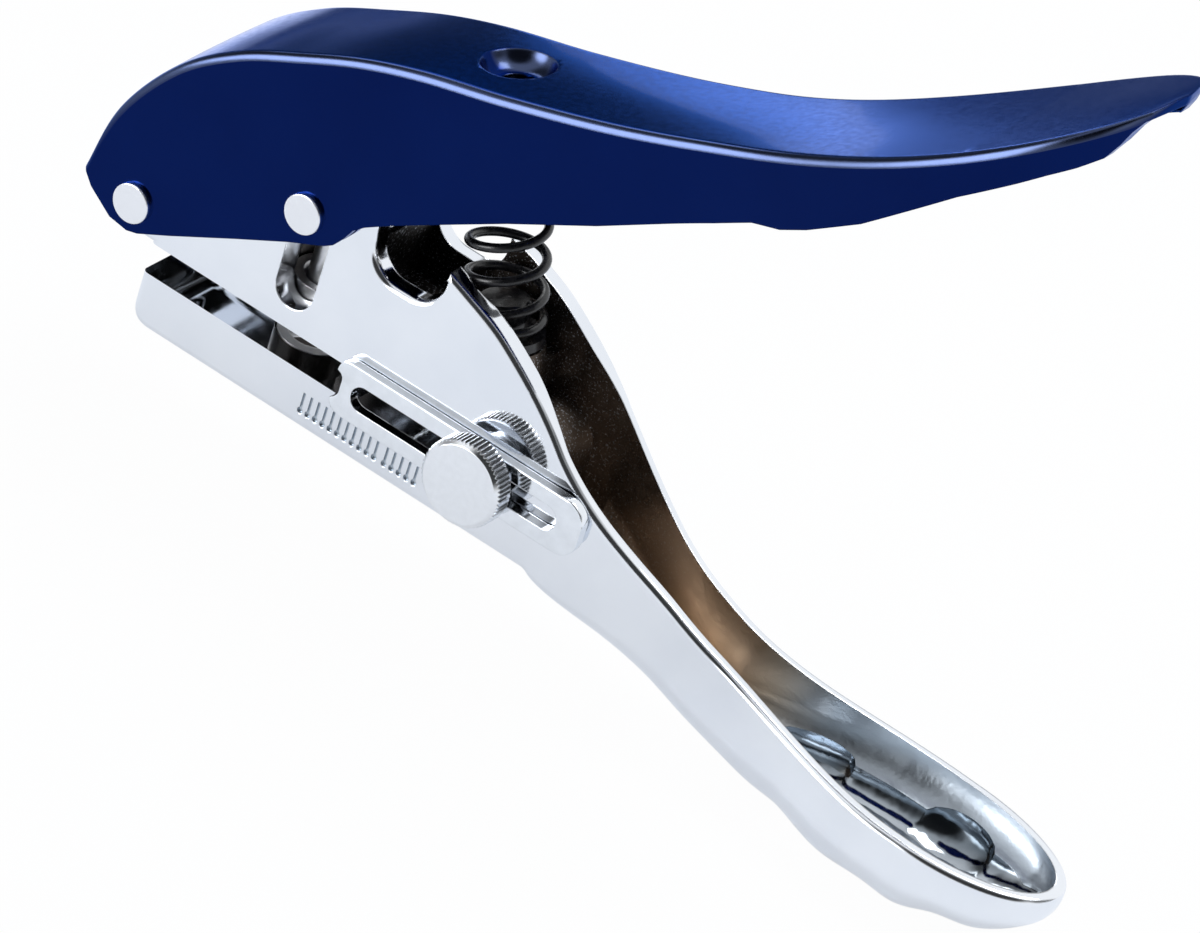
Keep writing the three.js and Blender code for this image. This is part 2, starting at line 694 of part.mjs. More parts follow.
function tickGrooves() {
  const tools = [];
  for (let i = 0; i < ticksBeforeGap + ticksAfterGap; i += 1) {
    const shift = i < ticksBeforeGap ? 0 : tickWideGap - tickPitch;
    const x = tickStartX + i * tickPitch + shift;
    const highZ = tickLowZ + tickLength;
    const groove = outlineOf([
      [x - tickWidth / 2, tickLowZ], [x + tickWidth / 2, tickLowZ], [x + tickWidth / 2, highZ],
      [x - tickWidth / 2, highZ],
    ]);
    const from = -cheekHalf - cutOverrun;
    tools.push(slab(groove, from, tickDepth - cheekHalf));
    const dot = new THREE.CylinderGeometry(tickDotRadius, tickDotRadius, cutOverrun + tickDepth, 8);
    dot.translate(x, from + (cutOverrun + tickDepth) / 2, tickLowZ);
    tools.push(toSolid(dot));
  }
  return tools;
}

function lowerBody() {
  const across = cheekHalf + cutOverrun;
  const shell = slab(frameShape(), -cheekHalf, cheekHalf, frameEdge, 3).add(handleOuter());
  const bayHalf = cheekHalf - cheekWall;
  const bay = new THREE.BoxGeometry(bayEndX - bayStartX, 2 * bayHalf, 2 * headTopZ);
  bay.translate((bayStartX + bayEndX) / 2, 0, bayFloorZ + headTopZ);
  const hollowed = cut(shell, [toSolid(bay), cheekHollow(), handleHollow(), fingerPockets()]);
  const seatUnderside = alongSpring(springFoot, -seatThickness - clearance);
  const pedestal = cylinder(seatRadius, alongSpring(seatUnderside, -pedestalDepth), seatUnderside);
  const bossHalf = cheekHalf - cheekWall / 2;
  const boss = slab(circleShape(screwX, screwZ, screwBossRadius), -bossHalf, bossHalf);
  const springRoom = springRadius + wireRadius + bayWallGap;
  const up = new THREE.Vector3(0, 0, 1);
  const punchAxis = (z) => new THREE.Vector3(punchX, 0, z);
  const tools = [
    cylinder(springRoom, seatUnderside, alongSpring(springFoot, springLength), 40),
    cylinder(rodBoreRadius, punchAxis(throatTopZ + guideLip), punchAxis(headTopZ + cutOverrun), 40),
    cylinder(guideInnerRadius + clearance, punchAxis(throatTopZ - throatGap / 2), punchAxis(headTopZ), 40),
    cylinder(dieOuterRadius + clearance, punchAxis(jawTopZ - dieHeight - clearance),
      punchAxis(jawTopZ + throatGap / 2), 40),
    cylinder(chadHoleRadius, punchAxis(jawBottomZ - cutOverrun), punchAxis(jawTopZ), 40),
    slab(throatShape(), -across, across),
    slab(slotShape(punchX, slotBottomZ + slotHalf, punchX, slotTopZ, slotHalf), -across, across),
    slab(circleShape(0, 0, pivotPinRadius + clearance), -across, across),
    slab(circleShape(screwX, screwZ, screwRadius + clearance), -across, screwDepth - cheekHalf),
    ...tickGrooves(),
  ];
  return cut(hollowed.add(pedestal).add(boss), tools);
}

// The helix of the spring, with slower rise at both ends and a short straight end each side
function springPath() {
  const sideways = new THREE.Vector3(0, 1, 0);
  const forward = new THREE.Vector3().crossVectors(sideways, springUp).normalize();
  const rest = (springLength - 2 * wireRadius - 2 * springEndPitch) / (springCoils - 2);
  const heightAt = (turns) => {
    if (turns < 1) return springEndPitch * turns;
    if (turns > springCoils - 1) {
      return springEndPitch + rest * (springCoils - 2) + springEndPitch * (turns - springCoils + 1);
    }
    return springEndPitch + rest * (turns - 1);
  };
  const pointAt = (turns) => {
    const angle = 2 * Math.PI * (turns + springStartTurn);
    return alongSpring(springFoot, wireRadius + heightAt(turns))
      .addScaledVector(forward, springRadius * Math.cos(angle))
      .addScaledVector(sideways, springRadius * Math.sin(angle));
  };
  const steps = springCoils * springSteps;
  const points = Array.from({ length: steps + 1 }, (unused, i) => pointAt(i * springCoils / steps));
  const extend = (end, inside) => end.clone().add(end.clone().sub(inside).setLength(2 * wireRadius));
  return [extend(points[0], points[1]), ...points, extend(points[steps], points[steps - 1])];
}

// A tube of five sides along a path that winds about the spring's axis
function wireTube(path, radius, sides) {
  const positions = [];
  const indices = [];
  const axisStart = springFoot;
  path.forEach((point, i) => {
    const before = path[Math.max(i - 1, 0)];
    const after = path[Math.min(i + 1, path.length - 1)];
    const tangent = after.clone().sub(before).normalize();
    const offset = point.clone().sub(axisStart);
    const outward = offset.addScaledVector(springUp, -offset.dot(springUp));
    outward.addScaledVector(tangent, -outward.dot(tangent)).normalize();
    const across = new THREE.Vector3().crossVectors(tangent, outward);
    for (let j = 0; j < sides; j += 1) {
      const angle = 2 * Math.PI * j / sides;
      const corner = point.clone()
        .addScaledVector(outward, radius * Math.cos(angle))
        .addScaledVector(across, radius * Math.sin(angle));
      positions.push(corner.x, corner.y, corner.z);
    }
  });
  for (let i = 0; i + 1 < path.length; i += 1) {
    for (let j = 0; j < sides; j += 1) {
      const next = (j + 1) % sides;
      const a = i * sides + j;
      const b = i * sides + next;
      const c = a + sides;
      const d = b + sides;
      indices.push(a, b, d, a, d, c);
    }
  }
  const last = (path.length - 1) * sides;
  for (let j = 1; j + 1 < sides; j += 1) {
    indices.push(0, j + 1, j, last, last + j, last + j + 1);
  }
  const geometry = new THREE.BufferGeometry();
  geometry.setAttribute('position', new THREE.Float32BufferAttribute(positions, 3));
  geometry.setIndex(indices);
  return geometry;
}

// The least gap between two stretches of the wire that are at least half a turn apart
function leastGap(path) {
  let least = Infinity;
  path.forEach((point, i) => {
    for (let j = i + springSteps / 2 + 1; j < path.length; j += 1) {
      least = Math.min(least, point.distanceTo(path[j]));
    }
  });
  return least - 2 * wireRadius;
}

function springSeat() {
  const edge = clearance;
  return turned([
    [0, -seatThickness], [seatRadius, -seatThickness], [seatRadius, -clearance], [seatStemRadius, -clearance],
    [seatStemRadius, seatStemHeight - edge], [seatStemRadius - edge, seatStemHeight], [0, seatStemHeight],
  ], 32, springFoot, springUp);
}

function gaugePlate() {
  const low = screwZ - plateHeight / 2;
  const high = screwZ + plateHeight / 2;
  const lobe = plateHeight / 4;
  const corner = plateRearCorner;
  const shape = new THREE.Shape();
  shape.moveTo(plateRearX - corner, low);
  shape.absarc(plateRearX - corner, low + corner, corner, -Math.PI / 2, 0);
  shape.absarc(plateRearX - corner, high - corner, corner, 0, Math.PI / 2);
  const lobes = noseLobeShares.map((share) => share * lobe);
  shape.lineTo(plateFrontX + lobe, high);
  shape.quadraticCurveTo(plateFrontX, high, plateFrontX, high - lobe);
  shape.quadraticCurveTo(tabFrontX, high - lobes[0], tabFrontX, high - lobes[1]);
  shape.lineTo(tabFrontX, screwZ - lobes[2]);
  shape.quadraticCurveTo(tabFrontX, low + lobes[3], plateFrontX, low + lobes[4]);
  shape.quadraticCurveTo(plateFrontX, low, plateFrontX + lobes[5], low);
  const slotRadius = screwRadius + slideGap;
  const slotFront = plateSlotFrontX + slotRadius;
  const slot = slotShape(slotFront, screwZ, plateSlotRearX - slotRadius, screwZ, slotRadius);
  const plate = slab(shape, plateOuterY, plateInnerY, plateEdge, 2)
    .subtract(slab(slot, plateOuterY - cutOverrun, plateInnerY + cutOverrun));
  const tabLow = jawTopZ + clearance;
  const tabHigh = throatTopZ - clearance;
  const tabRear = tabFrontX + tabThickness;
  const tab = outlineOf([[tabFrontX, tabLow], [tabRear, tabLow], [tabRear, tabHigh], [tabFrontX, tabHigh]]);
  return plate.add(slab(tab, plateInnerY - plateThickness / 2, plateInnerY + tabReach));
}

function thumbScrew() {
  const points = Array.from({ length: 2 * knurlTeeth }, (unused, i) => {
    const radius = knobRadius - (i % 2) * knurlDepth;
    const angle = Math.PI * i / knurlTeeth;
    return [radius * Math.cos(angle), radius * Math.sin(angle)];
  });
  const seat = plateOuterY - slideGap;
  const inner = seat - collarThickness;
  const outer = inner - knobThickness;
  const edge = knobEdge + knurlDepth;
  const centre = new THREE.Vector3(0, 0, 0);
  const axis = new THREE.Vector3(0, 1, 0);
  const dish = turned([
    [0, outer], [knobRadius - edge, outer], [knobRadius, outer + edge], [knobRadius, inner - edge / 2],
    [knobRadius - edge / 2, inner], [0, inner],
  ], knurlTeeth, centre, axis);
  const tipY = screwDepth - cheekHalf - clearance;
  const stem = turned([
    [0, inner - edge], [collarRadius, inner - edge], [collarRadius, seat], [screwRadius, seat],
    [screwRadius, tipY], [0, tipY],
  ], 24, centre, axis);
  return slab(outlineOf(points), outer, inner).intersect(dish).add(stem).translate([screwX, 0, screwZ]);
}

// Materials, one per piece
const finish = (color, roughness, metalness) =>
  new THREE.MeshStandardMaterial({ color, roughness, metalness });

const assembly = new THREE.Group();
const punch = new THREE.Group();
assembly.add(punch);
punch.position.set(-screwX, 0, -jawBottomZ);

function addPiece(name, geometry, material) {
  const mesh = new THREE.Mesh(geometry, material);
  mesh.name = name;
  punch.add(mesh);
}

const springRoute = springPath();
console.log(`spring: least gap between coils ${leastGap(springRoute).toFixed(2)} mm`);
console.log(`punch travel ${punchTravel.toFixed(3)} mm`);

addPiece('lower_body', toGeometry(lowerBody()), finish(0xd9dce0, 0.12, 1));
addPiece('upper_handle', toGeometry(upperHandle()), finish(0x0c1c50, 0.25, 0.2));
addPiece('pivot_pin', toGeometry(headedPin(0, 0, pivotPinRadius)), finish(0xc9ccd2, 0.3, 1));
addPiece('drive_pin', toGeometry(headedPin(driveX, driveZ, drivePinRadius)), finish(0xc9ccd2, 0.3, 1));
addPiece('punch_rod', toGeometry(punchRod()), finish(0x9a9ca0, 0.3, 1));
addPiece('punch_guide', toGeometry(ringAbout(punchX, throatTopZ + guideLip + clearance, guideTopZ,
  guideOuterRadius, guideInnerRadius)), finish(0x8d8f93, 0.35, 1));
addPiece('die_bush', toGeometry(dieBush()), finish(0x8d8f93, 0.35, 1));
addPiece('return_spring', wireTube(springRoute, wireRadius, springSides), finish(0x15161a, 0.35, 0.6));
addPiece('spring_seat', toGeometry(springSeat()), finish(0x101114, 0.3, 0));
addPiece('gauge_plate', toGeometry(gaugePlate()), finish(0xd5d9de, 0.15, 1));
addPiece('thumb_screw', toGeometry(thumbScrew()), finish(0xcfd2d7, 0.25, 1));

export default assembly;
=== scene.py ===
"""Looks of the single hole punch: chrome frame, blue enamelled lever, black spring, plated gauge."""
import math

import bmesh
import bpy
import numpy as np
from mathutils import Matrix, Vector


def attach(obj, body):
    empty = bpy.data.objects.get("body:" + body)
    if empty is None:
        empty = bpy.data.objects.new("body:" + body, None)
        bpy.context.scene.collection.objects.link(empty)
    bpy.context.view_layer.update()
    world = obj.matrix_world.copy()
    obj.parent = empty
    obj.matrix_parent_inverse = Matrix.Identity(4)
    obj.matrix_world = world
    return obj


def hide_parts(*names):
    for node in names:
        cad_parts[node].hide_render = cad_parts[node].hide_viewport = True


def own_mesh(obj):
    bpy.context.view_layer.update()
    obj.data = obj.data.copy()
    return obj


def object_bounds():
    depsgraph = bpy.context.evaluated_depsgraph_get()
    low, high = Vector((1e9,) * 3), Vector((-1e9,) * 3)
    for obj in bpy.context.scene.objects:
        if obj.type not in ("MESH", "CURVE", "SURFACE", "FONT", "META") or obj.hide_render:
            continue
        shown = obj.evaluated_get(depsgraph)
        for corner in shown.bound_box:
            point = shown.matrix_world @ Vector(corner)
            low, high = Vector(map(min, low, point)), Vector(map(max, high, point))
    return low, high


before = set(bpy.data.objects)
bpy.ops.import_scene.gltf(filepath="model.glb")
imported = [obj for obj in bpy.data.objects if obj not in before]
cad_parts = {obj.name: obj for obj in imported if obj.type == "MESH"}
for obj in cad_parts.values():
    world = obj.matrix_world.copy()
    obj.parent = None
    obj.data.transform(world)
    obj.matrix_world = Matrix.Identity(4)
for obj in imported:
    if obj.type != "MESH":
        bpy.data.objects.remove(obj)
CAD_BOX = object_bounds()
MM = 0.001

# The pieces are drawn in millimetres about the pivot axis; the row's origin lies below the thumb screw
PIVOT = Vector((-57.0, 0.0, 16.8))

# Camera: directions to the right, up and back towards the viewer
RIGHT = Vector((0.791, 0.551, 0.266)).normalized()
UP = Vector((-0.500, 0.330, 0.801))
UP = (UP - RIGHT * UP.dot(RIGHT)).normalized()
BACK = RIGHT.cross(UP)
FOCAL = 8000.0
WIDTH, HEIGHT = 1200.0, 933.0
PIN_FACE = (Vector((0.0, -10.85, 0.0)) + PIVOT) * MM
PIN_PIXEL = (129.5, 204.0)


def pixel_ray(x, y):
    """Direction from the camera through a pixel, with one unit along the view axis."""
    return -BACK + RIGHT * ((x - WIDTH / 2) / FOCAL) + UP * ((HEIGHT / 2 - y) / FOCAL)


def make_camera():
    data = bpy.data.cameras.new("camera")
    camera = bpy.data.objects.new("camera", data)
    bpy.context.scene.collection.objects.link(camera)
    data.sensor_fit = "HORIZONTAL"
    data.sensor_width = 36.0
    data.lens = 36.0 * FOCAL / WIDTH
    data.clip_start = 0.01
    place = PIN_FACE - pixel_ray(*PIN_PIXEL)
    turn = Matrix((RIGHT, UP, BACK)).transposed().to_4x4()
    camera.matrix_world = Matrix.Translation(place) @ turn
    bpy.context.scene.camera = camera


make_camera()


# Node helpers
def material(name):
    mat = bpy.data.materials.new(name)
    mat.use_nodes = True
    return mat, mat.node_tree, mat.node_tree.nodes["Principled BSDF"]


def add(tree, kind, values=(), **settings):
    node = tree.nodes.new(kind)
    for key, value in settings.items():
        setattr(node, key, value)
    for key, value in dict(values).items():
        node.inputs[key].default_value = value
    return node


def wire(tree, start, end):
    tree.links.new(start, end)


def noise(tree, scale, detail=4.0, stretch=(1.0, 1.0, 1.0)):
    where = add(tree, "ShaderNodeTexCoord")
    spread = add(tree, "ShaderNodeMapping", {"Scale": stretch})
    wire(tree, where.outputs["Object"], spread.inputs["Vector"])
    grain = add(tree, "ShaderNodeTexNoise", {"Scale": scale, "Detail": detail})
    wire(tree, spread.outputs["Vector"], grain.inputs["Vector"])
    return grain.outputs["Fac"]


def remap(tree, value, low, high, from_low=0.3, from_high=0.7):
    node = add(tree, "ShaderNodeMapRange", {
        "From Min": from_low, "From Max": from_high, "To Min": low, "To Max": high})
    wire(tree, value, node.inputs["Value"])
    return node.outputs["Result"]


def tint(tree, value, dark, light, low=0.35, high=0.65):
    ramp = add(tree, "ShaderNodeValToRGB")
    ramp.color_ramp.elements[0].position = low
    ramp.color_ramp.elements[0].color = (*dark, 1.0)
    ramp.color_ramp.elements[1].position = high
    ramp.color_ramp.elements[1].color = (*light, 1.0)
    wire(tree, value, ramp.inputs["Fac"])
    return ramp.outputs["Color"]


def bump(tree, value, strength, distance, normal=None):
    node = add(tree, "ShaderNodeBump", {"Strength": strength, "Distance": distance})
    wire(tree, value, node.inputs["Height"])
    if normal is not None:
        wire(tree, normal, node.inputs["Normal"])
    return node.outputs["Normal"]


def calc(tree, operation, *values):
    """A sum or product of sockets and numbers."""
    node = add(tree, "ShaderNodeMath", operation=operation)
    for i, value in enumerate(values):
        if isinstance(value, float):
            node.inputs[i].default_value = value
        else:
            wire(tree, value, node.inputs[i])
    return node.outputs["Value"]


def soft_edge(tree, radius):
    """Normals that turn over sharp edges, as a rounded edge of that radius does."""
    return add(tree, "ShaderNodeBevel", {"Radius": radius}, samples=6).outputs["Normal"]


def chrome():
    mat, tree, shader = material("polished_plating")
    shader.inputs["Metallic"].default_value = 1.0
    color = tint(tree, noise(tree, 60.0), (0.82, 0.85, 0.90), (0.88, 0.905, 0.945))
    wire(tree, color, shader.inputs["Base Color"])
    wire(tree, remap(tree, noise(tree, 900.0, 3.0), 0.05, 0.1), shader.inputs["Roughness"])
    waves = bump(tree, noise(tree, 150.0, 2.0), 0.03, 0.0002, soft_edge(tree, 0.0004))
    wire(tree, waves, shader.inputs["Normal"])
    return mat


# The painted shade and reflections inside the frame and handle: places along the handle in mm about the
# pivot, and the colour there
INSIDE_SHADE_COLORS = [
    (36.0, (0.050, 0.045, 0.042)), (54.0, (0.110, 0.088, 0.073)), (64.0, (0.23, 0.182, 0.146)),
    (76.0, (0.42, 0.337, 0.265)), (87.0, (0.60, 0.495, 0.395)), (96.0, (0.48, 0.445, 0.40)),
    (106.0, (0.36, 0.40, 0.44)), (142.0, (0.50, 0.56, 0.63)),
]


def along_handle(tree, start, end):
    """0 at one place along the handle and 1 at another, in mm about the pivot."""
    where = add(tree, "ShaderNodeTexCoord")
    split = add(tree, "ShaderNodeSeparateXYZ")
    wire(tree, where.outputs["Object"], split.inputs["Vector"])
    return remap(tree, split.outputs["X"], 0.0, 1.0, (start + PIVOT.x) * MM, (end + PIVOT.x) * MM)


def inside_painted_shade():
    """The inside of the casting with painted shade and reflections: black near the spring, brown at the waist
    and plated at the palm.
    """
    mat, tree, shader = material("painted_shade_inside")
    shader.inputs["Metallic"].default_value = 1.0
    first, last = INSIDE_SHADE_COLORS[0][0], INSIDE_SHADE_COLORS[-1][0]
    cloud = calc(tree, "MULTIPLY_ADD", noise(tree, 60.0, 3.0), 0.08, along_handle(tree, first, last))
    ramp = add(tree, "ShaderNodeValToRGB")
    stops = ramp.color_ramp.elements
    for i, (place, color) in enumerate(INSIDE_SHADE_COLORS):
        share = (place - first) / (last - first)
        stop = stops[i] if i < 2 else stops.new(share)
        stop.position = share
        stop.color = (*color, 1.0)
    wire(tree, calc(tree, "SUBTRACT", cloud, 0.04), ramp.inputs["Fac"])
    painted_glints = tint(tree, noise(tree, 3400.0, 3.0), (0.0, 0.0, 0.0), (0.9, 0.9, 0.9), 0.58, 0.66)
    mix = add(tree, "ShaderNodeMix", data_type="RGBA")
    mix.inputs["B"].default_value = (0.80, 0.84, 0.90, 1.0)
    # The painted glints start behind the punch rod's bores and fade towards the waist
    sparse = calc(tree, "MULTIPLY", along_handle(tree, 31.0, 34.0), along_handle(tree, 84.0, 57.0))
    wire(tree, calc(tree, "MULTIPLY", painted_glints, sparse), mix.inputs["Factor"])
    wire(tree, ramp.outputs["Color"], mix.inputs["A"])
    wire(tree, mix.outputs["Result"], shader.inputs["Base Color"])
    wire(tree, remap(tree, noise(tree, 500.0, 3.0), 0.3, 0.42), shader.inputs["Roughness"])
    wire(tree, bump(tree, noise(tree, 1500.0, 3.0), 0.35, 0.0001), shader.inputs["Normal"])
    return mat


def tray_inside():
    """The plated pockets of the palm with painted shade: dark at the far wall and lighter towards the near
    one.
    """
    mat, tree, shader = material("plated_casting")
    shader.inputs["Metallic"].default_value = 1.0
    where = add(tree, "ShaderNodeTexCoord")
    split = add(tree, "ShaderNodeSeparateXYZ")
    wire(tree, where.outputs["Object"], split.inputs["Vector"])
    across = remap(tree, split.outputs["Y"], 1.0, 0.0, -0.003, 0.0055)
    cloud = calc(tree, "MULTIPLY_ADD", noise(tree, 150.0, 2.0), 0.5, across)
    shade = tint(tree, cloud, (0.11, 0.135, 0.16), (0.72, 0.77, 0.83), 0.3, 1.15)
    wire(tree, shade, shader.inputs["Base Color"])
    wire(tree, remap(tree, noise(tree, 800.0, 3.0), 0.06, 0.12), shader.inputs["Roughness"])
    waves = bump(tree, noise(tree, 260.0, 2.0), 0.25, 0.0006, soft_edge(tree, 0.0003))
    wire(tree, waves, shader.inputs["Normal"])
    return mat


def enamel():
    mat, tree, shader = material("blue_enamel")
    color = tint(tree, noise(tree, 40.0), (0.0009, 0.0085, 0.076), (0.0013, 0.0105, 0.088))
    # Painted highlight: lighter on the round edges, which face both up and sideways
    where = add(tree, "ShaderNodeTexCoord")
    split = add(tree, "ShaderNodeSeparateXYZ")
    wire(tree, where.outputs["Normal"], split.inputs["Vector"])
    side = calc(tree, "ABSOLUTE", split.outputs["Y"])
    painted_edge_highlight = calc(tree, "MULTIPLY", remap(tree, side, 0.0, 1.0, 0.12, 0.32),
                      remap(tree, split.outputs["Z"], 0.0, 1.0, 0.05, 0.2))
    mix = add(tree, "ShaderNodeMix", data_type="RGBA")
    mix.inputs["B"].default_value = (0.052, 0.070, 0.140, 1.0)
    wire(tree, painted_edge_highlight, mix.inputs["Factor"])
    wire(tree, color, mix.inputs["A"])
    wire(tree, mix.outputs["Result"], shader.inputs["Base Color"])
    shader.inputs["Metallic"].default_value = 1.0
    shader.inputs["Specular Tint"].default_value = (0.49, 0.60, 1.0, 1.0)
    wire(tree, remap(tree, noise(tree, 1200.0, 2.0), 0.16, 0.22), shader.inputs["Roughness"])
    shader.inputs["Coat Weight"].default_value = 0.05
    shader.inputs["Coat Roughness"].default_value = 0.05
    waves = bump(tree, noise(tree, 420.0, 2.0), 0.03, 0.0002, soft_edge(tree, 0.0004))
    wire(tree, waves, shader.inputs["Normal"])
    return mat


def steel(name, dark, light, rough, grain=1500.0, strength=0.12):
    mat, tree, shader = material(name)
    shader.inputs["Metallic"].default_value = 1.0
    speck = noise(tree, grain, 4.0)
    wire(tree, tint(tree, speck, dark, light), shader.inputs["Base Color"])
    wire(tree, remap(tree, speck, rough, rough + 0.05), shader.inputs["Roughness"])
    wire(tree, bump(tree, speck, strength, 0.00004, soft_edge(tree, 0.0002)), shader.inputs["Normal"])
    return mat


def black(name, rough):
    mat, tree, shader = material(name)
    speck = noise(tree, 1400.0, 3.0)
    wire(tree, tint(tree, speck, (0.004, 0.004, 0.005), (0.010, 0.010, 0.012)), shader.inputs["Base Color"])
    wire(tree, remap(tree, speck, rough, rough + 0.12), shader.inputs["Roughness"])
    wire(tree, bump(tree, speck, 0.1, 0.0001), shader.inputs["Normal"])
    return mat


MATERIALS = {
    "lower_body": chrome(),
    "upper_handle": enamel(),
    "pivot_pin": steel("pin_steel", (0.86, 0.87, 0.90), (0.88, 0.89, 0.92), 0.16, 1200.0, 0.02),
    "punch_rod": steel("tool_steel", (0.78, 0.78, 0.79), (0.84, 0.84, 0.85), 0.34, 1200.0, 0.02),
    "return_spring": black("black_wire", 0.22),
    "spring_seat": black("black_plastic", 0.16),
    "gauge_plate": steel("plated_sheet", (0.82, 0.85, 0.89), (0.88, 0.91, 0.95), 0.07, 500.0, 0.03),
    "thumb_screw": steel("satin_plating", (0.84, 0.86, 0.89), (0.87, 0.89, 0.92), 0.12, 1200.0, 0.015),
}
MATERIALS["drive_pin"] = MATERIALS["pivot_pin"]
MATERIALS["punch_guide"] = MATERIALS["punch_rod"]
MATERIALS["die_bush"] = MATERIALS["punch_rod"]
# Places in the list of finishes; the first is the outside, which every tool has unless it says otherwise
# DARK is the painted shade and reflections of the hollows, bores and bosses inside the casting
OUTSIDE, DARK, TRAY, TICK_GROOVE_SHADE = 0, 1, 2, 3
BODY_FINISHES = [MATERIALS["lower_body"], inside_painted_shade(), tray_inside(),
                 steel("tick_shade", (0.38, 0.44, 0.50), (0.52, 0.57, 0.63), 0.2)]


# Shading of the CAD pieces that stay: smooth faces, with sharp edges kept sharp
def smooth_by_angle(limit):
    group = bpy.data.node_groups.new("smooth_by_angle", "GeometryNodeTree")
    group.interface.new_socket("Geometry", in_out="INPUT", socket_type="NodeSocketGeometry")
    group.interface.new_socket("Geometry", in_out="OUTPUT", socket_type="NodeSocketGeometry")
    start = add(group, "NodeGroupInput")
    end = add(group, "NodeGroupOutput")
    weld = add(group, "GeometryNodeMergeByDistance", {"Distance": 1e-6})
    faces = add(group, "GeometryNodeSetShadeSmooth", domain="FACE")
    edges = add(group, "GeometryNodeSetShadeSmooth", {"Shade Smooth": False}, domain="EDGE")
    angle = add(group, "GeometryNodeInputMeshEdgeAngle")
    sharp = add(group, "FunctionNodeCompare", {"B": limit}, data_type="FLOAT", operation="GREATER_THAN")
    wire(group, start.outputs["Geometry"], weld.inputs["Geometry"])
    wire(group, weld.outputs["Geometry"], faces.inputs["Geometry"])
    wire(group, faces.outputs["Geometry"], edges.inputs["Geometry"])
    wire(group, angle.outputs["Unsigned Angle"], sharp.inputs["A"])
    wire(group, sharp.outputs["Result"], edges.inputs["Selection"])
    wire(group, edges.outputs["Geometry"], end.inputs["Geometry"])
    return group


SMOOTH = smooth_by_angle(math.radians(35.0))


def dress(obj, mat):
    obj.data.materials.clear()
    obj.data.materials.append(mat)
    obj.modifiers.new("smooth", "NODES").node_group = SMOOTH
    weighted = obj.modifiers.new("weighted", "WEIGHTED_NORMAL")
    weighted.keep_sharp = True


for name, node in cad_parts.items():
    dress(node, MATERIALS[name])


# Curves and closed meshes in millimetres
def between(start, end, share):
    return start + (end - start) * share


def ease(x, start, end):
    share = min(max((x - start) / (end - start), 0.0), 1.0)
    return share * share * (3.0 - 2.0 * share)


def smooth_line(points):
    """A smooth line through points that rise in x, which gives its height at any x."""
    xs = [point[0] for point in points]
    ys = [point[1] for point in points]
    last = len(points) - 1
    slopes = [(ys[min(i + 1, last)] - ys[max(i - 1, 0)]) / (xs[min(i + 1, last)] - xs[max(i - 1, 0)])
              for i in range(last + 1)]

    def height(x):
        i = min(max(sum(1 for value in xs if value <= x) - 1, 0), last - 1)
        width = xs[i + 1] - xs[i]
        t = min(max((x - xs[i]) / width, 0.0), 1.0)
        rise = ys[i + 1] - ys[i]
        first, second = slopes[i] * width, slopes[i + 1] * width
        return (ys[i] + first * t + (3 * rise - 2 * first - second) * t * t
                + (first + second - 2 * rise) * t ** 3)
    return height


def smooth_path(points, steps):
    """Points on a centripetal curve through the given points, with that many steps a span."""
    known = [np.array(point, float) for point in points]
    known = [2 * known[0] - known[1]] + known + [2 * known[-1] - known[-2]]
    path = []
    for i in range(1, len(known) - 2):
        a, b, c, d = known[i - 1:i + 3]
        before, here, after = (math.sqrt(np.linalg.norm(q - p)) for p, q in ((a, b), (b, c), (c, d)))
        leave = ((b - a) / before - (c - a) / (before + here) + (c - b) / here) * here
        arrive = ((c - b) / here - (d - b) / (here + after) + (d - c) / after) * here
        for step in range(steps):
            t = step / steps
            path.append(b + leave * t + (3 * (c - b) - 2 * leave - arrive) * t ** 2
                        + (leave + arrive - 2 * (c - b)) * t ** 3)
    return path + [known[-2]]


def closed(name, points, faces, finish):
    """A closed mesh object with outward faces, all in one of its finishes."""
    mesh = bpy.data.meshes.new(name)
    mesh.from_pydata([tuple(map(float, point)) for point in points], [], faces)
    tidy = bmesh.new()
    tidy.from_mesh(mesh)
    bmesh.ops.remove_doubles(tidy, verts=tidy.verts, dist=1e-5)
    bmesh.ops.recalc_face_normals(tidy, faces=tidy.faces)
    for face in tidy.faces:
        face.material_index = finish
    tidy.to_mesh(mesh)
    tidy.free()
    obj = bpy.data.objects.new(name, mesh)
    bpy.context.scene.collection.objects.link(obj)
    return obj


def layered(name, rings, finish=OUTSIDE):
    """A closed mesh through rings of equal length, with a flat cap at each end."""
    count = len(rings[0])
    points = [point for ring in rings for point in ring]
    faces = []
    for i in range(len(rings) - 1):
        for j in range(count):
            k = (j + 1) % count
            faces.append((i * count + j, i * count + k, (i + 1) * count + k, (i + 1) * count + j))
    last = (len(rings) - 1) * count
    faces.append(tuple(reversed(range(count))))
    faces.append(tuple(range(last, last + count)))
    return closed(name, points, faces, finish)


def inset(outline, depth):
    """The outline moved inwards, for an outline that runs counter-clockwise in x and z."""
    moved = []
    count = len(outline)
    for i, here in enumerate(outline):
        before = np.array(outline[i - 1], float)
        after = np.array(outline[(i + 1) % count], float)
        here = np.array(here, float)
        first = (here - before) / np.linalg.norm(here - before)
        second = (after - here) / np.linalg.norm(after - here)
        one, two = np.array([-first[1], first[0]]), np.array([-second[1], second[0]])
        moved.append(here + (one + two) * depth / (1.0 + float(one @ two)))
    return moved


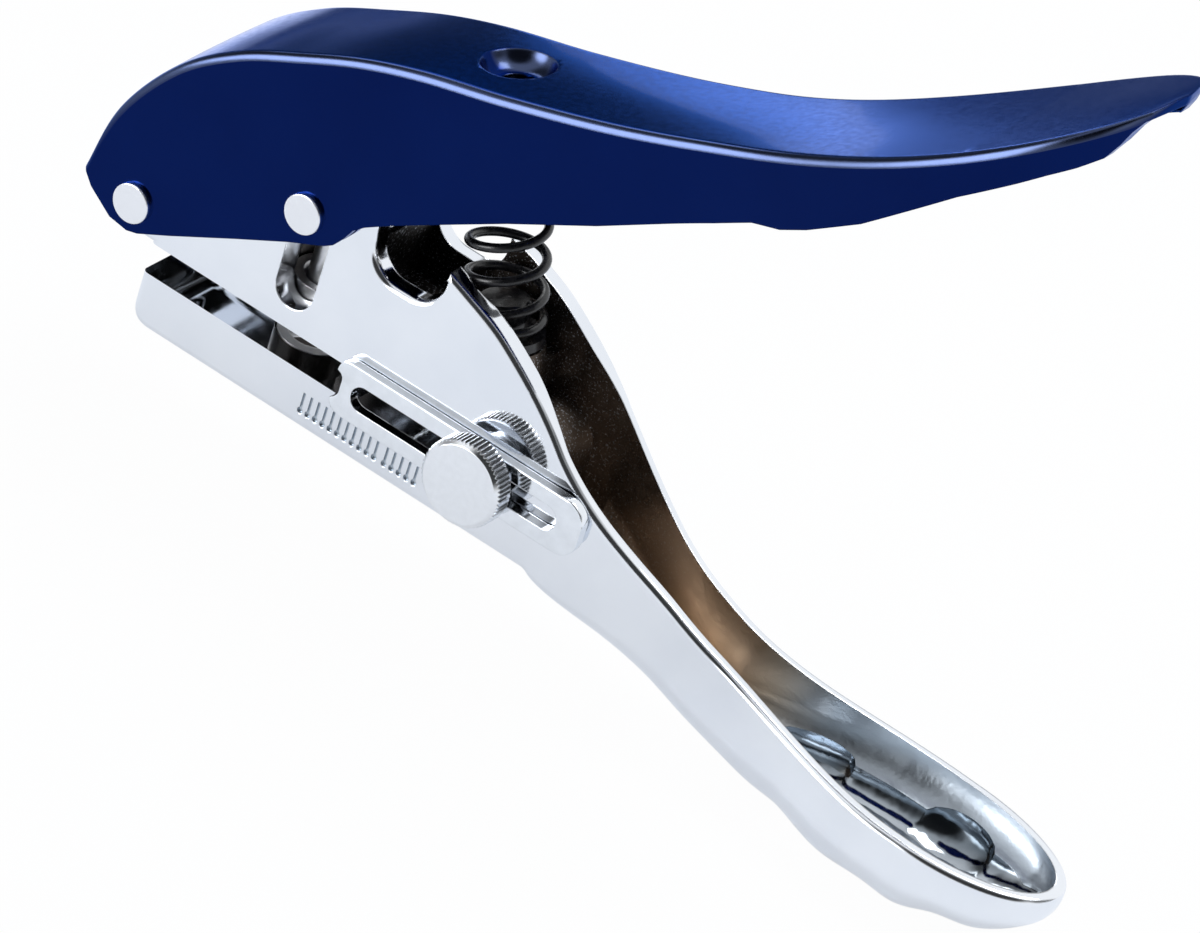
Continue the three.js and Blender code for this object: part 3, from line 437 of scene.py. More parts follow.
def slab(name, outline, low, high, edge=0.0, steps=5, finish=OUTSIDE):
    """A side outline across the width, with rounded side edges."""
    tidy = [point for i, point in enumerate(outline)
            if np.hypot(point[0] - outline[i - 1][0], point[1] - outline[i - 1][1]) > 0.01]
    area = sum(a[0] * b[1] - b[0] * a[1] for a, b in zip(tidy, tidy[1:] + tidy[:1]))
    if area < 0:
        tidy = tidy[::-1]
    levels = [(low, 0.0), (high, 0.0)]
    if edge > 0:
        turns = [math.pi / 2 * i / steps for i in range(steps + 1)]
        near = [(low + edge * (1 - math.sin(turn)), edge * (1 - math.cos(turn))) for turn in reversed(turns)]
        levels = near + [(low + high - y, depth) for y, depth in reversed(near)]
    rings = [[(x, y, z) for x, z in inset(tidy, depth)] for y, depth in levels]
    return layered(name, rings, finish)


def arc(x, z, radius, start, end, steps):
    """Points of an arc in the side view, with its turns in degrees."""
    turns = [math.radians(between(start, end, i / steps)) for i in range(steps + 1)]
    return [(x + radius * math.cos(turn), z + radius * math.sin(turn)) for turn in turns]


def round_slot(x, low, high, radius, steps=24):
    return arc(x, low, radius, 180, 360, steps) + arc(x, high, radius, 0, 180, steps)


def turned(name, profile, origin, direction, steps=96, finish=OUTSIDE):
    """A solid turned about an axis, from a profile of radius and height that starts and ends on it."""
    spin = Vector((0, 0, 1)).rotation_difference(Vector(direction))
    points, faces, rings = [], [], []
    for radius, height in profile:
        count = 1 if radius == 0 else steps
        rings.append([len(points) + i for i in range(count)])
        for i in range(count):
            turn = 2 * math.pi * i / steps
            place = Vector((radius * math.cos(turn), radius * math.sin(turn), height))
            points.append(Vector(origin) + spin @ place)
    for lower, upper in zip(rings, rings[1:]):
        for i in range(steps):
            k = (i + 1) % steps
            corners = [lower[i % len(lower)], lower[k % len(lower)],
                       upper[k % len(upper)], upper[i % len(upper)]]
            corners = list(dict.fromkeys(corners))
            if len(corners) > 2:
                faces.append(tuple(corners))
    return closed(name, points, faces, finish)


def cylinder(name, radius, start, end, finish=OUTSIDE, steps=96):
    start, end = Vector(start), Vector(end)
    length = (end - start).length
    profile = [(0, 0), (radius, 0), (radius, length), (0, length)]
    return turned(name, profile, start, end - start, steps, finish)


def combine(base, tools, operation, finishes):
    """The base joined with, cut or kept by each tool in turn; the tools are used up."""
    for obj in [base, *tools]:
        if not obj.data.materials:
            for finish in finishes:
                obj.data.materials.append(finish)
    for tool in tools:
        step = base.modifiers.new(tool.name, "BOOLEAN")
        step.operation = operation
        step.object = tool
        step.solver = "EXACT"
    graph = bpy.context.evaluated_depsgraph_get()
    mesh = bpy.data.meshes.new_from_object(base.evaluated_get(graph), depsgraph=graph)
    base.modifiers.clear()
    base.data = mesh
    for tool in tools:
        bpy.data.objects.remove(tool)
    return base


def finished(obj, name, body, node, angle=32.0):
    """The piece in metres in the row's frame, smooth, on its body and in place of its CAD node."""
    obj.name = name
    obj.data.transform(Matrix.Scale(MM, 4) @ Matrix.Translation(PIVOT))
    obj.data.polygons.foreach_set("use_smooth", [True] * len(obj.data.polygons))
    obj.data.set_sharp_from_angle(angle=math.radians(angle))
    weighted = obj.modifiers.new("weighted", "WEIGHTED_NORMAL")
    weighted.keep_sharp = True
    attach(obj, body)
    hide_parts(node)
    return obj


# Sizes of the frame and the lower handle, in mm about the pivot
CHEEK = 8.4
FRAME_EDGE = 0.9
RIM_EDGE = 0.85
NOSE = 5.2
HEAD_TOP = 19.0
THROAT_TOP = -4.9
THROAT = 4.35
THROAT_END = 52.3
JAW_TOP = THROAT_TOP - THROAT
JAW_BOTTOM = JAW_TOP - 7.55
RIM_START = (44.1, 15.0)
TAIL = (144.2, -20.4)
FRAME_END = 66.0
SEAM_X = 60.0
SEAM = 0.003
BELLY = -30.0
WALL, CHEEK_WALL = 1.6, 2.8
FLOOR = 2.2
TRAY_FLOOR = -24.2
PALM_X, PALM_HALF = 126.0, 9.9
WAIST_HALF = 5.5
GROOVES = (107.0, 121.5, 132.4, 143.4)
DRIVE = (23.67, 12.44)
PUNCH_X = 24.45
SLOT_HALF, SLOT_LOW, SLOT_HIGH = 2.94, -2.0, 17.5
SCREW = (57.0, -6.9)
SCREW_BOSS, SCREW_BOSS_HALF = 6.3, 7.0
PIVOT_BORE, DRIVE_BORE, SCREW_BORE = 2.3, 1.55, 1.9
ROD_BORE, GUIDE_BORE, DIE_BORE, CHAD_BORE = 5.15, 3.6, 5.05, 4.35
DIE_DEPTH = 3.7
PEDESTAL, SEAT_DEPTH = 5.4, 1.8
BAY_START, BAY_END, BAY_FLOOR = 33.3, 55.3, 4.5
# Heights and widths past the whole part, for tools that cut through
BEYOND, ABOVE = 15.0, 40.0
POCKET_START, POCKET_STEP, POCKETS = 101.1, 10.5, 3.8
TICKS, GAP_AFTER = 16, 10
TICK_START, TICK_STEP, TICK_GAP = 30.1, 1.18, 0.39
TICK_LOW, TICK_HIGH, TICK_BULB, TICK_HALF, TICK_DEPTH = -14.4, -11.8, 0.42, 0.18, 0.3

RIM_SHARES = [
    (0, 1), (0.034, 0.963), (0.087, 0.9), (0.133, 0.818), (0.17, 0.74), (0.201, 0.662),
    (0.228, 0.585), (0.271, 0.482), (0.316, 0.393), (0.371, 0.304), (0.454, 0.2), (0.527, 0.137),
    (0.617, 0.083), (0.739, 0.036), (0.844, 0.017), (1, 0),
]
BELLY_SHARES = [
    (0, 0), (0.018, 0.068), (0.081, 0.22), (0.142, 0.356), (0.203, 0.492), (0.266, 0.621),
    (0.329, 0.75), (0.394, 0.852), (0.46, 0.93), (0.524, 0.947), (0.614, 0.973), (0.71, 0.996),
    (0.78, 0.939), (0.849, 0.86), (0.89, 0.795), (0.93, 0.712), (0.968, 0.644), (0.992, 0.545),
    (1, 0.394),
]
rim_z = smooth_line([(between(RIM_START[0], TAIL[0], a), between(TAIL[1], RIM_START[1], b))
                     for a, b in RIM_SHARES])
belly_z = smooth_line([(between(FRAME_END, TAIL[0], a), between(JAW_BOTTOM, BELLY, b))
                       for a, b in BELLY_SHARES])


def floor_z(x):
    return max(belly_z(x) + FLOOR, TRAY_FLOOR)


def slope(line, x):
    return (line(x + 0.3) - line(x - 0.3)) / 0.6


def half_width(x):
    if x < 92:
        return between(CHEEK, WAIST_HALF, ease(x, FRAME_END, 86))
    if x < PALM_X:
        return between(WAIST_HALF, PALM_HALF, ease(x, 92, PALM_X - CHEEK_WALL))
    return PALM_HALF * math.sqrt(max(0.0, 1 - ((x - PALM_X) / (TAIL[0] - PALM_X)) ** 2))


def inner_half(x):
    if x < PALM_X:
        return half_width(x) - WALL
    share = (x - PALM_X) / (TAIL[0] - WALL - PALM_X)
    return (PALM_HALF - WALL) * math.sqrt(max(0.0, 1 - share ** 2))


def bulge(x):
    for start, end in zip(GROOVES, GROOVES[1:]):
        if start < x < end:
            return math.sin(math.pi * (x - start) / (end - start)) ** 2
    return 0.0


def trough(x, half, top, low, low_radius, top_radius, stretch=1.0, steps=10):
    """Cross section of the handle, counter-clockwise from the lower far corner."""
    ring = []
    for side, z, radius, turn in ((1, low, low_radius, 270), (1, top, top_radius, 0),
                                  (-1, top, top_radius, 90), (-1, low, low_radius, 180)):
        tall = min(radius * (stretch if z == top else 1.0), (top - low) / 2)
        centre = (side * (half - radius), z - tall if z == top else z + tall)
        for i in range(steps + 1):
            angle = math.radians(turn + 90 * i / steps)
            ring.append((x, centre[0] + radius * math.cos(angle), centre[1] + tall * math.sin(angle)))
    return ring


def stations(start, end, even, tail):
    places = [between(start, PALM_X, i / even) for i in range(even)]
    return places + [between(PALM_X, end, math.sin(i / tail * math.pi / 2)) for i in range(tail + 1)]


def handle_outer():
    rings = []
    for x in stations(46.0, between(PALM_X, TAIL[0], 0.998), 130, 40):
        seam = SEAM if x < SEAM_X else 0.0
        half = half_width(x) - seam
        top = rim_z(x) - seam
        low = (belly_z(x) if x > FRAME_END else JAW_BOTTOM) - bulge(x) + seam
        low = min(low, top - 2 * FRAME_EDGE)
        radius = min(between(FRAME_EDGE, 0.78 * half, ease(x, FRAME_END, 86)), 0.95 * half, (top - low) / 2)
        top_radius = min(between(FRAME_EDGE, RIM_EDGE, ease(x, FRAME_END, 86)), half / 3)
        rings.append(trough(x, half, top, low, radius, top_radius, math.hypot(1, slope(rim_z, x))))
    return layered("handle", rings)


def handle_hollow():
    rings = []
    for x in stations(67.2, between(PALM_X, TAIL[0] - WALL, 0.998), 110, 36):
        half = inner_half(x)
        top = rim_z(x) + 6
        low = min(floor_z(x), rim_z(x) - FRAME_EDGE)
        radius = min(0.72 * half, (top - low) / 2)
        rings.append(trough(x, half, top, low, radius, half / 12))
    return layered("hollow", rings, finish=DARK)


def finger_pockets():
    """Four pockets in a row: every other one is scooped wider and deeper in its middle."""
    rings = []
    steps = 16
    for i in range(int(POCKETS * steps) + 1):
        x = POCKET_START + POCKET_STEP * i / steps
        share = (i % steps) / steps
        bow = 1 - (2 * share - 1) ** 2 if (i // steps) % 2 == 0 else 0.0
        half = inner_half(x) * (0.62 + 0.2 * math.sqrt(bow))
        low = max(floor_z(x) - 2.1 - 0.9 * bow, belly_z(x) + 1.6)
        rings.append(trough(x, half, rim_z(x) + 6, low, 0.75 * half, half / 12))
    return layered("pockets", rings, finish=TRAY)


def cheek_hollow():
    low = JAW_BOTTOM + FLOOR + FRAME_EDGE
    rings = []
    for i in range(25):
        x = between(55.2, 67.25, i / 24)
        half = between(CHEEK - CHEEK_WALL, inner_half(x), ease(x, 58.0, 67.2))
        rings.append(trough(x, half, rim_z(x) + 4, low, 0.9, 0.9))
    return layered("cavity", rings, finish=DARK)


def frame_side():
    nose = arc(0, THROAT_TOP + NOSE, NOSE, 270, 180, 28)
    rise = [((1 - t) ** 2 * -NOSE + 2 * t * (1 - t) * -NOSE + t * t * 11,
             (1 - t) ** 2 * (THROAT_TOP + NOSE) + 2 * t * (1 - t) * HEAD_TOP / 2 + t * t * HEAD_TOP)
            for t in (i / 24 for i in range(1, 25))]
    notch = arc(37.5, 13.2, 4.2, 180, 270, 16) + arc(39.9, 13.2, 4.2, 270, 360, 16)
    rim = [(x, rim_z(x)) for x in (between(RIM_START[0], SEAM_X, i / 36) for i in range(37))]
    jaw = [((1 - t) ** 2 * 6 + 2 * t * (1 - t) * 3 + t * t * 3,
            (1 - t) ** 2 * JAW_BOTTOM + 2 * t * (1 - t) * JAW_BOTTOM + t * t * (JAW_BOTTOM + 3))
           for t in (i / 12 for i in range(13))]
    return ([(3, JAW_TOP), (3, THROAT_TOP)] + nose + rise + [(32.3, HEAD_TOP)] + notch + rim
            + [(SEAM_X, JAW_BOTTOM)] + jaw)


def ticks():
    """The ruler's grooves in the near side of the jaw, each with a round lower end and painted shade in it.
    """
    tools = []
    for i in range(TICKS):
        x = TICK_START + i * TICK_STEP + (TICK_GAP if i > GAP_AFTER else 0.0)
        outline = arc(x, TICK_LOW, TICK_BULB, 115, 425, 14)
        outline += [(x + TICK_HALF, TICK_HIGH), (x - TICK_HALF, TICK_HIGH)]
        tools.append(slab("tick", outline, -CHEEK - 1, TICK_DEPTH - CHEEK, finish=TICK_GROOVE_SHADE))
    return tools


# The lever's top line and the frame of its sunk hole, which the spring stands under
TAIL_X, TAIL_Z = 124.0, 85.3
LEVER_HALF, PALM_LEVER_HALF = 10.1, 14.4
SHEET = 1.2
EDGE_DROP, EDGE_WIDTH, CROWN = 0.5, 2.4, 0.2
TOP_SHARES = [
    (-0.0668, 0.0094), (-0.0476, 0.1266), (0.0054, 0.2462), (0.0661, 0.32), (0.1339, 0.374),
    (0.1992, 0.4197), (0.2653, 0.4543), (0.3677, 0.4947), (0.5, 0.5569), (0.6274, 0.6342),
    (0.7282, 0.7151), (0.8468, 0.83), (1, 1),
]
LOW_SHARES = [
    (-0.0668, 0.0094), (-0.052, -0.016), (-0.0221, -0.0445), (0.0012, -0.0494), (0.0142, -0.0442),
    (0.0504, -0.0168), (0.1262, 0.0437), (0.1814, 0.0865), (0.2226, 0.115), (0.2315, 0.1245),
    (0.2409, 0.1443), (0.2478, 0.1639), (0.2595, 0.1797), (0.2877, 0.2075), (0.3455, 0.2597),
    (0.4074, 0.315), (0.5006, 0.3921), (0.6203, 0.503), (0.6593, 0.5409), (0.692, 0.5603),
    (0.721, 0.588), (0.7758, 0.6508), (0.8613, 0.7726), (0.9111, 0.8347), (0.9339, 0.864),
    (0.9548, 0.8886), (0.9718, 0.9121), (0.979, 0.9355), (0.9835, 0.9566), (0.989, 0.9735),
    (1.02, 1),
]
EDGE_SHARES = [(0, 2.4), (0.05, 1.5), (0.16, 0.55), (0.34, 0.1), (0.5, 0)]
DIMPLE_X = 40.6
DIMPLE_SHARES = [
    (0.48, 1.0), (0.55, 0.99), (0.68, 0.9), (0.8, 0.7), (0.9, 0.42), (0.96, 0.18), (1.0, 0.02),
]
top_path = smooth_path([(a * TAIL_X, b * TAIL_Z) for a, b in TOP_SHARES], 16)
top_path = top_path[:-16] + smooth_path([tuple(point) for point in (top_path[-17], *top_path[-16::5])], 5)[1:]
top_turns = np.gradient(np.array(top_path), axis=0)
top_turns = top_turns / np.linalg.norm(top_turns, axis=1)[:, None]
dimple_at = next(i for i, point in enumerate(top_path) if point[0] > DIMPLE_X)
dimple_share = (DIMPLE_X - top_path[dimple_at - 1][0]) / (top_path[dimple_at][0] - top_path[dimple_at - 1][0])
dimple = between(top_path[dimple_at - 1], top_path[dimple_at], dimple_share)
DIMPLE = Vector((dimple[0], 0.0, dimple[1]))
SPRING_UP = Vector((-top_turns[dimple_at][1], 0.0, top_turns[dimple_at][0]))
HOLE_RADIUS, HOLE_DEPTH, HOLE_END = 4.8, 2.3, -8.4
BOSS_RADIUS, BOSS_FOOT, BOSS_DROP = 5.4, 3.5, 4.45
SPRING_LENGTH = 32.3
SPRING_BELOW = 2.9
SPRING_FOOT = DIMPLE - SPRING_UP * (SPRING_BELOW + SPRING_LENGTH)
SPRING_RADIUS, WIRE = 4.88, 0.62


def lever_half(x, depth):
    palm = PALM_LEVER_HALF - depth
    if x < 105:
        return between(LEVER_HALF - depth, palm, ease(x, 70, 105))
    share = min(max((x - 105) / (TAIL_X - depth - 105), 0.0), 0.9999)
    return palm * (1 - share ** 2.45) ** (1 / 2.45)


def lever_outer():
    edge = smooth_path(EDGE_SHARES, 5)
    rings = []
    for (x, z), turn in zip(top_path, top_turns):
        half = lever_half(x, 0.0)
        stretch = 1 / max(turn[0], 1 / 3)
        scale = min(1.0, half / (3 * EDGE_WIDTH))
        wide, high = EDGE_WIDTH * scale, EDGE_DROP * stretch * scale
        side = [(half, -9.0)] + [(half - a * wide, z - b * high) for a, b in edge]
        start = side[-1][0]
        for i in range(1, 9):
            share = math.sin(i / 8 * math.pi / 2)
            side.append((start * (1 - i / 8), z + CROWN * scale * share))
        ring = [(x, y, height) for y, height in side] + [(x, -y, height) for y, height in side[-2::-1]]
        rings.append(ring)
    return layered("pressing", rings)


def lever_hollow():
    rings = []
    for (x, z), turn in zip(top_path, top_turns):
        x, z = x + turn[1] * SHEET, z - turn[0] * SHEET
        if x > TAIL_X - 1.44:
            continue
        half = lever_half(x, SHEET)
        radius = min(EDGE_DROP / max(turn[0], 1 / 3), half / 2)
        corner = [(half - radius + radius * math.cos(a), z - radius + radius * math.sin(a))
                  for a in (i / 6 * math.pi / 2 for i in range(7))]
        rings.append([(x, -half, -11.0), (x, half, -11.0)] + [(x, y, h) for y, h in corner]
                     + [(x, -y, h) for y, h in reversed(corner)])
    kept = [rings[0]]
    for ring in rings[1:]:
        if ring[0][0] > kept[-1][0][0] + 0.01:
            kept.append(ring)
    return layered("channel", kept)


def make_lever():
    low = [(a * TAIL_X, b * TAIL_Z) for a, b in LOW_SHARES]
    side = [(low[0][0] - 2, TAIL_Z + 2), (low[0][0] - 2, low[0][1])] + low
    side += [(low[-1][0] + 2, low[-1][1]), (low[-1][0] + 2, TAIL_Z + 2)]
    finishes = [MATERIALS["upper_handle"]]
    lever = combine(lever_outer(), [lever_hollow()], "DIFFERENCE", finishes)
    lever = combine(lever, [slab("trim", side, -30, 30)], "INTERSECT", finishes)
    boss_low = -BOSS_DROP - SHEET / 2
    boss_side = [(0, boss_low), (BOSS_FOOT, boss_low), (BOSS_FOOT, -HOLE_DEPTH - SHEET),
                 (BOSS_RADIUS, -SHEET - CROWN), (BOSS_RADIUS, -SHEET / 2), (0, -SHEET / 2)]
    lever = combine(lever, [turned("boss", boss_side, DIMPLE, SPRING_UP)], "UNION", finishes)
    wall = smooth_path([(HOLE_RADIUS * a, CROWN - HOLE_DEPTH * b) for a, b in DIMPLE_SHARES], 3)
    hole_side = [(0, HOLE_END), (wall[0][0], HOLE_END)] + [tuple(point) for point in wall]
    hole_side += [(HOLE_RADIUS + 0.2, CROWN + 0.03), (HOLE_RADIUS + 0.4, CROWN + 2), (0, CROWN + 2)]
    hole = turned("hole", hole_side, DIMPLE, SPRING_UP)
    bores = [cylinder("bore", PIVOT_BORE, (0, -BEYOND, 0), (0, BEYOND, 0)),
             cylinder("bore", DRIVE_BORE, (DRIVE[0], -BEYOND, DRIVE[1]), (DRIVE[0], BEYOND, DRIVE[1]))]
    lever = combine(lever, [hole, *bores], "DIFFERENCE", finishes)
    return finished(lever, "lever_pressing", "lever", "upper_handle")


def make_body():
    body = slab("body", frame_side(), -CHEEK, CHEEK, FRAME_EDGE, 8)
    body = combine(body, [handle_outer()], "UNION", BODY_FINISHES)
    bay_side = [(BAY_START, BAY_FLOOR), (BAY_END, BAY_FLOOR), (BAY_END, ABOVE), (BAY_START, ABOVE)]
    bay = slab("bay", bay_side, CHEEK_WALL - CHEEK, CHEEK - CHEEK_WALL, finish=DARK)
    hollows = [bay, cheek_hollow(), handle_hollow(), finger_pockets()]
    body = combine(body, hollows, "DIFFERENCE", BODY_FINISHES)
    seat = SPRING_FOOT - SPRING_UP * SEAT_DEPTH
    pedestal = cylinder("pedestal", PEDESTAL, seat - SPRING_UP * 6, seat, DARK)
    boss_side = arc(*SCREW, SCREW_BOSS, 0, 354, 59)
    boss = slab("screw_boss", boss_side, -SCREW_BOSS_HALF, SCREW_BOSS_HALF, finish=DARK)
    body = combine(body, [pedestal, boss], "UNION", BODY_FINISHES)
    width = CHEEK + 2
    throat = [(-10, THROAT_TOP), (-10, JAW_TOP)]
    throat += arc(THROAT_END - THROAT / 2, JAW_TOP + THROAT / 2, THROAT / 2, -90, 90, 20)
    tools = [
        cylinder("spring_room", SPRING_RADIUS + WIRE + 0.5, seat, SPRING_FOOT + SPRING_UP * ABOVE, DARK),
        cylinder("rod_bore", ROD_BORE, (PUNCH_X, 0, THROAT_TOP + 1), (PUNCH_X, 0, 30), DARK),
        cylinder("guide_bore", GUIDE_BORE, (PUNCH_X, 0, -8), (PUNCH_X, 0, 10), DARK),
        cylinder("die_bore", DIE_BORE, (PUNCH_X, 0, JAW_TOP - DIE_DEPTH), (PUNCH_X, 0, JAW_TOP + 2), DARK),
        cylinder("chad_bore", CHAD_BORE, (PUNCH_X, 0, JAW_BOTTOM - 2), (PUNCH_X, 0, JAW_TOP), DARK),
        slab("throat", throat, -width, width),
        slab("window", round_slot(PUNCH_X, SLOT_LOW + SLOT_HALF, SLOT_HIGH, SLOT_HALF), -width, width),
        cylinder("pivot_bore", PIVOT_BORE, (0, -width, 0), (0, width, 0)),
        cylinder("screw_bore", SCREW_BORE, (SCREW[0], -width, SCREW[1]), (SCREW[0], 11 - CHEEK, SCREW[1])),
        *ticks(),
    ]
    body = combine(body, tools, "DIFFERENCE", BODY_FINISHES)
    return finished(body, "body_casting", "frame", "lower_body")


def make_spring():
    """The return spring as a smooth wire, with slower rise and a short straight end at both ends."""
    coils, end_pitch, start_turn, steps, sides = 8, 1.9, 0.545, 56, 14
    pitch = (SPRING_LENGTH - 2 * WIRE - 2 * end_pitch) / (coils - 2)
    ahead = Vector((0, 1, 0)).cross(SPRING_UP).normalized()
    path = []
    for i in range(coils * steps + 1):
        turns = i / steps
        height = end_pitch * min(turns, 1) + pitch * min(max(turns - 1, 0), coils - 2)
        height += end_pitch * max(turns - coils + 1, 0)
        angle = 2 * math.pi * (turns + start_turn)
        path.append(SPRING_FOOT + SPRING_UP * (WIRE + height) + ahead * SPRING_RADIUS * math.cos(angle)
                    + Vector((0, SPRING_RADIUS * math.sin(angle), 0)))
    path.insert(0, path[0] + (path[0] - path[1]).normalized() * 2 * WIRE)
    path.append(path[-1] + (path[-1] - path[-2]).normalized() * 2 * WIRE)
    rings = []
    for i, point in enumerate(path):
        along = (path[min(i + 1, len(path) - 1)] - path[max(i - 1, 0)]).normalized()
        out = point - SPRING_FOOT
        out = out - SPRING_UP * out.dot(SPRING_UP)
        out = (out - along * out.dot(along)).normalized()
        side = along.cross(out)
        turns = [2 * math.pi * j / sides for j in range(sides)]
        rings.append([point + out * WIRE * math.cos(turn) + side * WIRE * math.sin(turn) for turn in turns])
    spring = layered("spring", rings)
    spring.data.materials.append(MATERIALS["return_spring"])
    finished(spring, "spring_wire", "frame", "return_spring", 60.0)
    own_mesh(spring)


make_lever()
make_body()
make_spring()


# Floor, backdrop and light; the two places on the ground are those that the lever's top reflects
REAR_GROUND = (-0.30, 0.45, -0.014)
HEAD_GROUND = (-0.16, 0.14, -0.014)
FLOOR_SIZE = 0.55
FLOOR_GAP = 0.0002
FLOOR_GLOW = 0.45
DARK_GROUND = (0.03, 0.075, 0.19, 1.0)
WHITE = (1.0, 1.0, 1.0, 1.0)


def make_floor():
    low = CAD_BOX[0][2] - FLOOR_GAP
    mesh = bpy.data.meshes.new("floor")
    steps = 64
    turns = [2 * math.pi * i / steps for i in range(steps)]
    ring = [(FLOOR_SIZE * math.cos(turn), FLOOR_SIZE * math.sin(turn), low) for turn in turns]
    mesh.from_pydata(ring, [], [tuple(range(steps))])
    floor = bpy.data.objects.new("floor", mesh)
    bpy.context.scene.collection.objects.link(floor)
    mat, tree, shader = material("floor")
    color = tint(tree, noise(tree, 30.0), (0.75, 0.80, 0.88), (0.79, 0.84, 0.92))
    wire(tree, color, shader.inputs["Base Color"])
    shader.inputs["Roughness"].default_value = 0.9
    shader.inputs["Specular IOR Level"].default_value = 0.0
    glow = add(tree, "ShaderNodeEmission")
    path = add(tree, "ShaderNodeLightPath")
    glossy = path.outputs["Is Glossy Ray"]
    # Behind the punch the ground looks dark in reflections, as in the lever's steep end
    where = add(tree, "ShaderNodeTexCoord")
    away = add(tree, "ShaderNodeVectorMath", {1: REAR_GROUND}, operation="DISTANCE")
    wire(tree, where.outputs["Object"], away.inputs[0])
    near = remap(tree, away.outputs["Value"], 1.0, 0.0, 0.16, 0.25)
    # On the left it looks brighter, as in the top of the lever's head
    aside = add(tree, "ShaderNodeVectorMath", {1: HEAD_GROUND}, operation="DISTANCE")
    wire(tree, where.outputs["Object"], aside.inputs[0])
    lit = calc(tree, "MULTIPLY", remap(tree, aside.outputs["Value"], 1.0, 0.0, 0.03, 0.09), glossy)
    wire(tree, calc(tree, "MULTIPLY_ADD", lit, 2.2, 1.0), glow.inputs["Strength"])
    dark = add(tree, "ShaderNodeMix", data_type="RGBA")
    dark.inputs["A"].default_value = WHITE
    dark.inputs["B"].default_value = DARK_GROUND
    wire(tree, calc(tree, "MULTIPLY", near, glossy), dark.inputs["Factor"])
    wire(tree, dark.outputs["Result"], glow.inputs["Color"])
    seen = calc(tree, "MULTIPLY", path.outputs["Is Camera Ray"], 0.97)
    shine = calc(tree, "MULTIPLY_ADD", near, 1.0 - FLOOR_GLOW, FLOOR_GLOW)
    share = calc(tree, "MULTIPLY_ADD", glossy, shine, seen)
    blend = add(tree, "ShaderNodeMixShader")
    wire(tree, share, blend.inputs["Fac"])
    wire(tree, shader.outputs["BSDF"], blend.inputs[1])
    wire(tree, glow.outputs["Emission"], blend.inputs[2])
    wire(tree, blend.outputs["Shader"], tree.nodes["Material Output"].inputs["Surface"])
    mesh.materials.append(mat)


def patch(tree, ray, towards, inner, outer):
    """1 near a direction and 0 away from it, with a soft edge between two angles in degrees."""
    aim = Vector(towards).normalized()
    dot = add(tree, "ShaderNodeVectorMath", {1: tuple(aim)}, operation="DOT_PRODUCT")
    wire(tree, ray, dot.inputs[0])
    edge = add(tree, "ShaderNodeMapRange", {
        "From Min": math.cos(math.radians(outer)), "From Max": math.cos(math.radians(inner))},
        interpolation_type="SMOOTHSTEP")
    wire(tree, dot.outputs["Value"], edge.inputs["Value"])
    return edge.outputs["Result"]


def band(tree, height, low, high, soft):
    """1 between two heights of the sky and 0 above and below."""
    rise = add(tree, "ShaderNodeMapRange", {"From Min": low - soft, "From Max": low + soft},
               interpolation_type="SMOOTHSTEP")
    fall = add(tree, "ShaderNodeMapRange", {"From Min": high + soft, "From Max": high - soft},
               interpolation_type="SMOOTHSTEP")
    wire(tree, height, rise.inputs["Value"])
    wire(tree, height, fall.inputs["Value"])
    return calc(tree, "MULTIPLY", rise.outputs["Result"], fall.outputs["Result"])


# What bright metal sees: towards, full within and gone beyond in degrees, and how much the light changes
DARK_PATCHES = [
    ((0.354, -0.767, 0.537), 30, 50, -0.96),
    ((-1.0, 0.1, 0.45), 10, 34, -0.85),
    ((1.0, 0.1, 0.45), 10, 30, -0.85),
]
BRIGHT_PATCHES = [
    ((-0.62, -0.78, 0.03), 12, 28, 7.0),
    ((-0.71, 0.54, 0.45), 6, 14, 3.0),
]
# The sky behind the punch, which the lever's top reflects
REAR, REAR_INNER, REAR_OUTER = (-0.6, 0.77, 0.1), 18, 34
REAR_DIM = -0.8
SKY, LOW_SKY = (0.97, 0.985, 1.0, 1.0), (0.2, 0.42, 1.0, 1.0)
SKY_LIGHT = 0.72


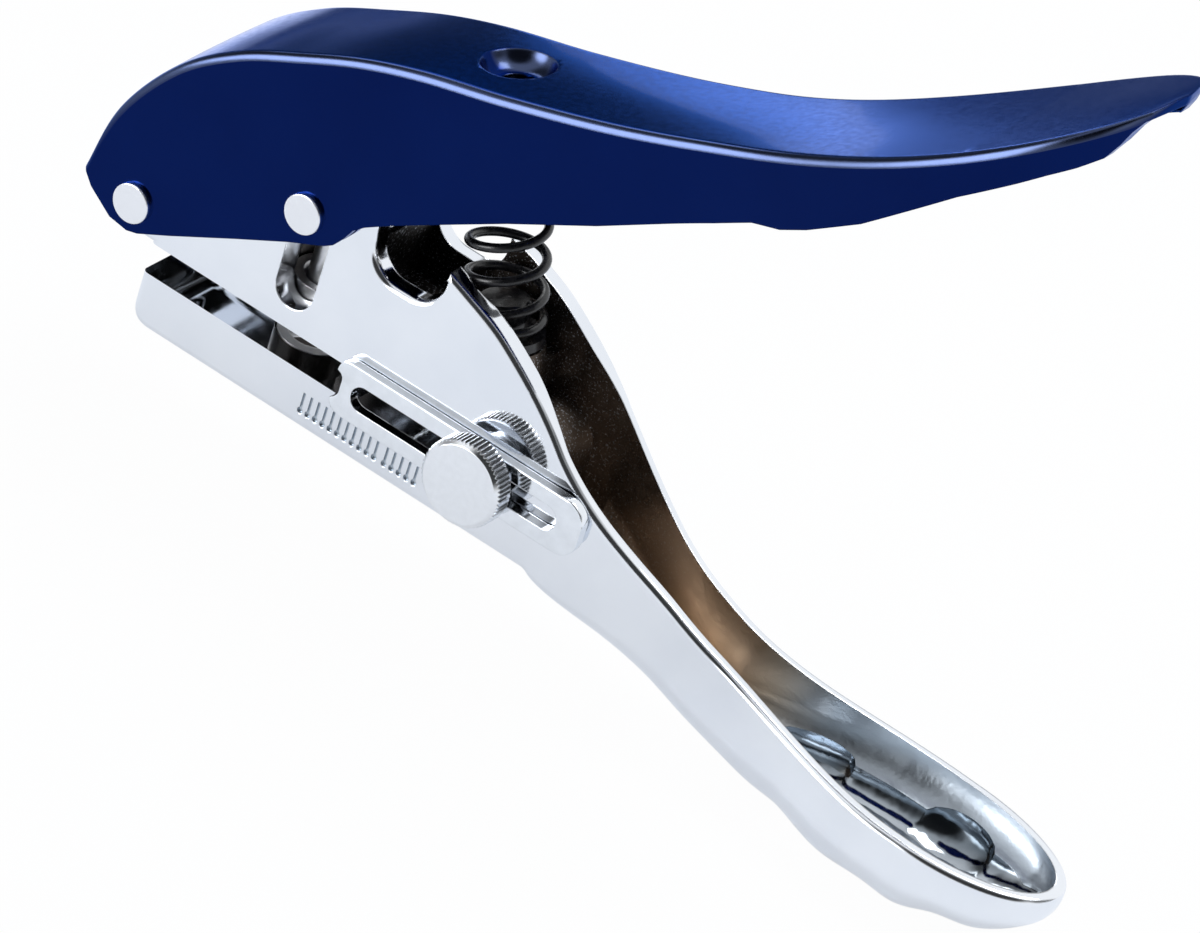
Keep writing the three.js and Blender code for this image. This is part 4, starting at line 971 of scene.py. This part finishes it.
def make_world():
    world = bpy.data.worlds.new("studio")
    bpy.context.scene.world = world
    world.use_nodes = True
    tree = world.node_tree
    back = tree.nodes["Background"]
    ray = add(tree, "ShaderNodeTexCoord").outputs["Generated"]
    split = add(tree, "ShaderNodeSeparateXYZ")
    wire(tree, ray, split.inputs["Vector"])
    height = split.outputs["Z"]
    light = 1.0
    for towards, inner, outer, change in DARK_PATCHES:
        share = calc(tree, "MULTIPLY_ADD", patch(tree, ray, towards, inner, outer), change, 1.0)
        light = calc(tree, "MULTIPLY", light, share)
    rear = patch(tree, ray, REAR, REAR_INNER, REAR_OUTER)
    dim = calc(tree, "MULTIPLY", rear, band(tree, height, -0.02, 0.42, 0.06))
    light = calc(tree, "MULTIPLY", light, calc(tree, "MULTIPLY_ADD", dim, REAR_DIM, 1.0))
    low = calc(tree, "MULTIPLY", rear, band(tree, height, -0.5, -0.075, 0.04))
    light = calc(tree, "MULTIPLY", light, calc(tree, "MULTIPLY_ADD", low, REAR_DIM, 1.0))
    for towards, inner, outer, change in BRIGHT_PATCHES:
        light = calc(tree, "MULTIPLY_ADD", patch(tree, ray, towards, inner, outer), change, light)

    path = add(tree, "ShaderNodeLightPath")
    gloss = add(tree, "ShaderNodeMix", data_type="FLOAT")
    wire(tree, path.outputs["Is Glossy Ray"], gloss.inputs["Factor"])
    gloss.inputs["A"].default_value = SKY_LIGHT
    wire(tree, light, gloss.inputs["B"])
    seen = add(tree, "ShaderNodeMix", data_type="FLOAT")
    wire(tree, path.outputs["Is Camera Ray"], seen.inputs["Factor"])
    wire(tree, gloss.outputs["Result"], seen.inputs["A"])
    seen.inputs["B"].default_value = 1.0
    wire(tree, seen.outputs["Result"], back.inputs["Strength"])
    color = add(tree, "ShaderNodeMix", data_type="RGBA")
    color.inputs["A"].default_value = SKY
    color.inputs["B"].default_value = LOW_SKY
    wire(tree, calc(tree, "MULTIPLY", low, path.outputs["Is Glossy Ray"]), color.inputs["Factor"])
    wire(tree, color.outputs["Result"], back.inputs["Color"])


def area_light(name, place, target, size, power, color=(1.0, 1.0, 1.0)):
    data = bpy.data.lights.new(name, "AREA")
    data.shape = "RECTANGLE"
    data.size, data.size_y = size
    data.energy = power
    data.color = color
    light = bpy.data.objects.new(name, data)
    bpy.context.scene.collection.objects.link(light)
    light.location = place
    light.rotation_euler = (Vector(target) - Vector(place)).to_track_quat("-Z", "Y").to_euler()
    return light


make_floor()
make_world()
area_light("key", (0.15, 0.25, 0.8), (0.0, 0.0, 0.02), (0.5, 0.35), 3.0)
# A small card behind the punch, which only reflections show: the light on the lever's hollow part
card = area_light("card", (-0.159, 0.2375, 0.086), (0.032, 0.0075, 0.067), (0.03, 0.06), 0.0175)
card.visible_camera = False
card.visible_diffuse = False

scene = bpy.context.scene
scene.view_settings.view_transform = "Standard"
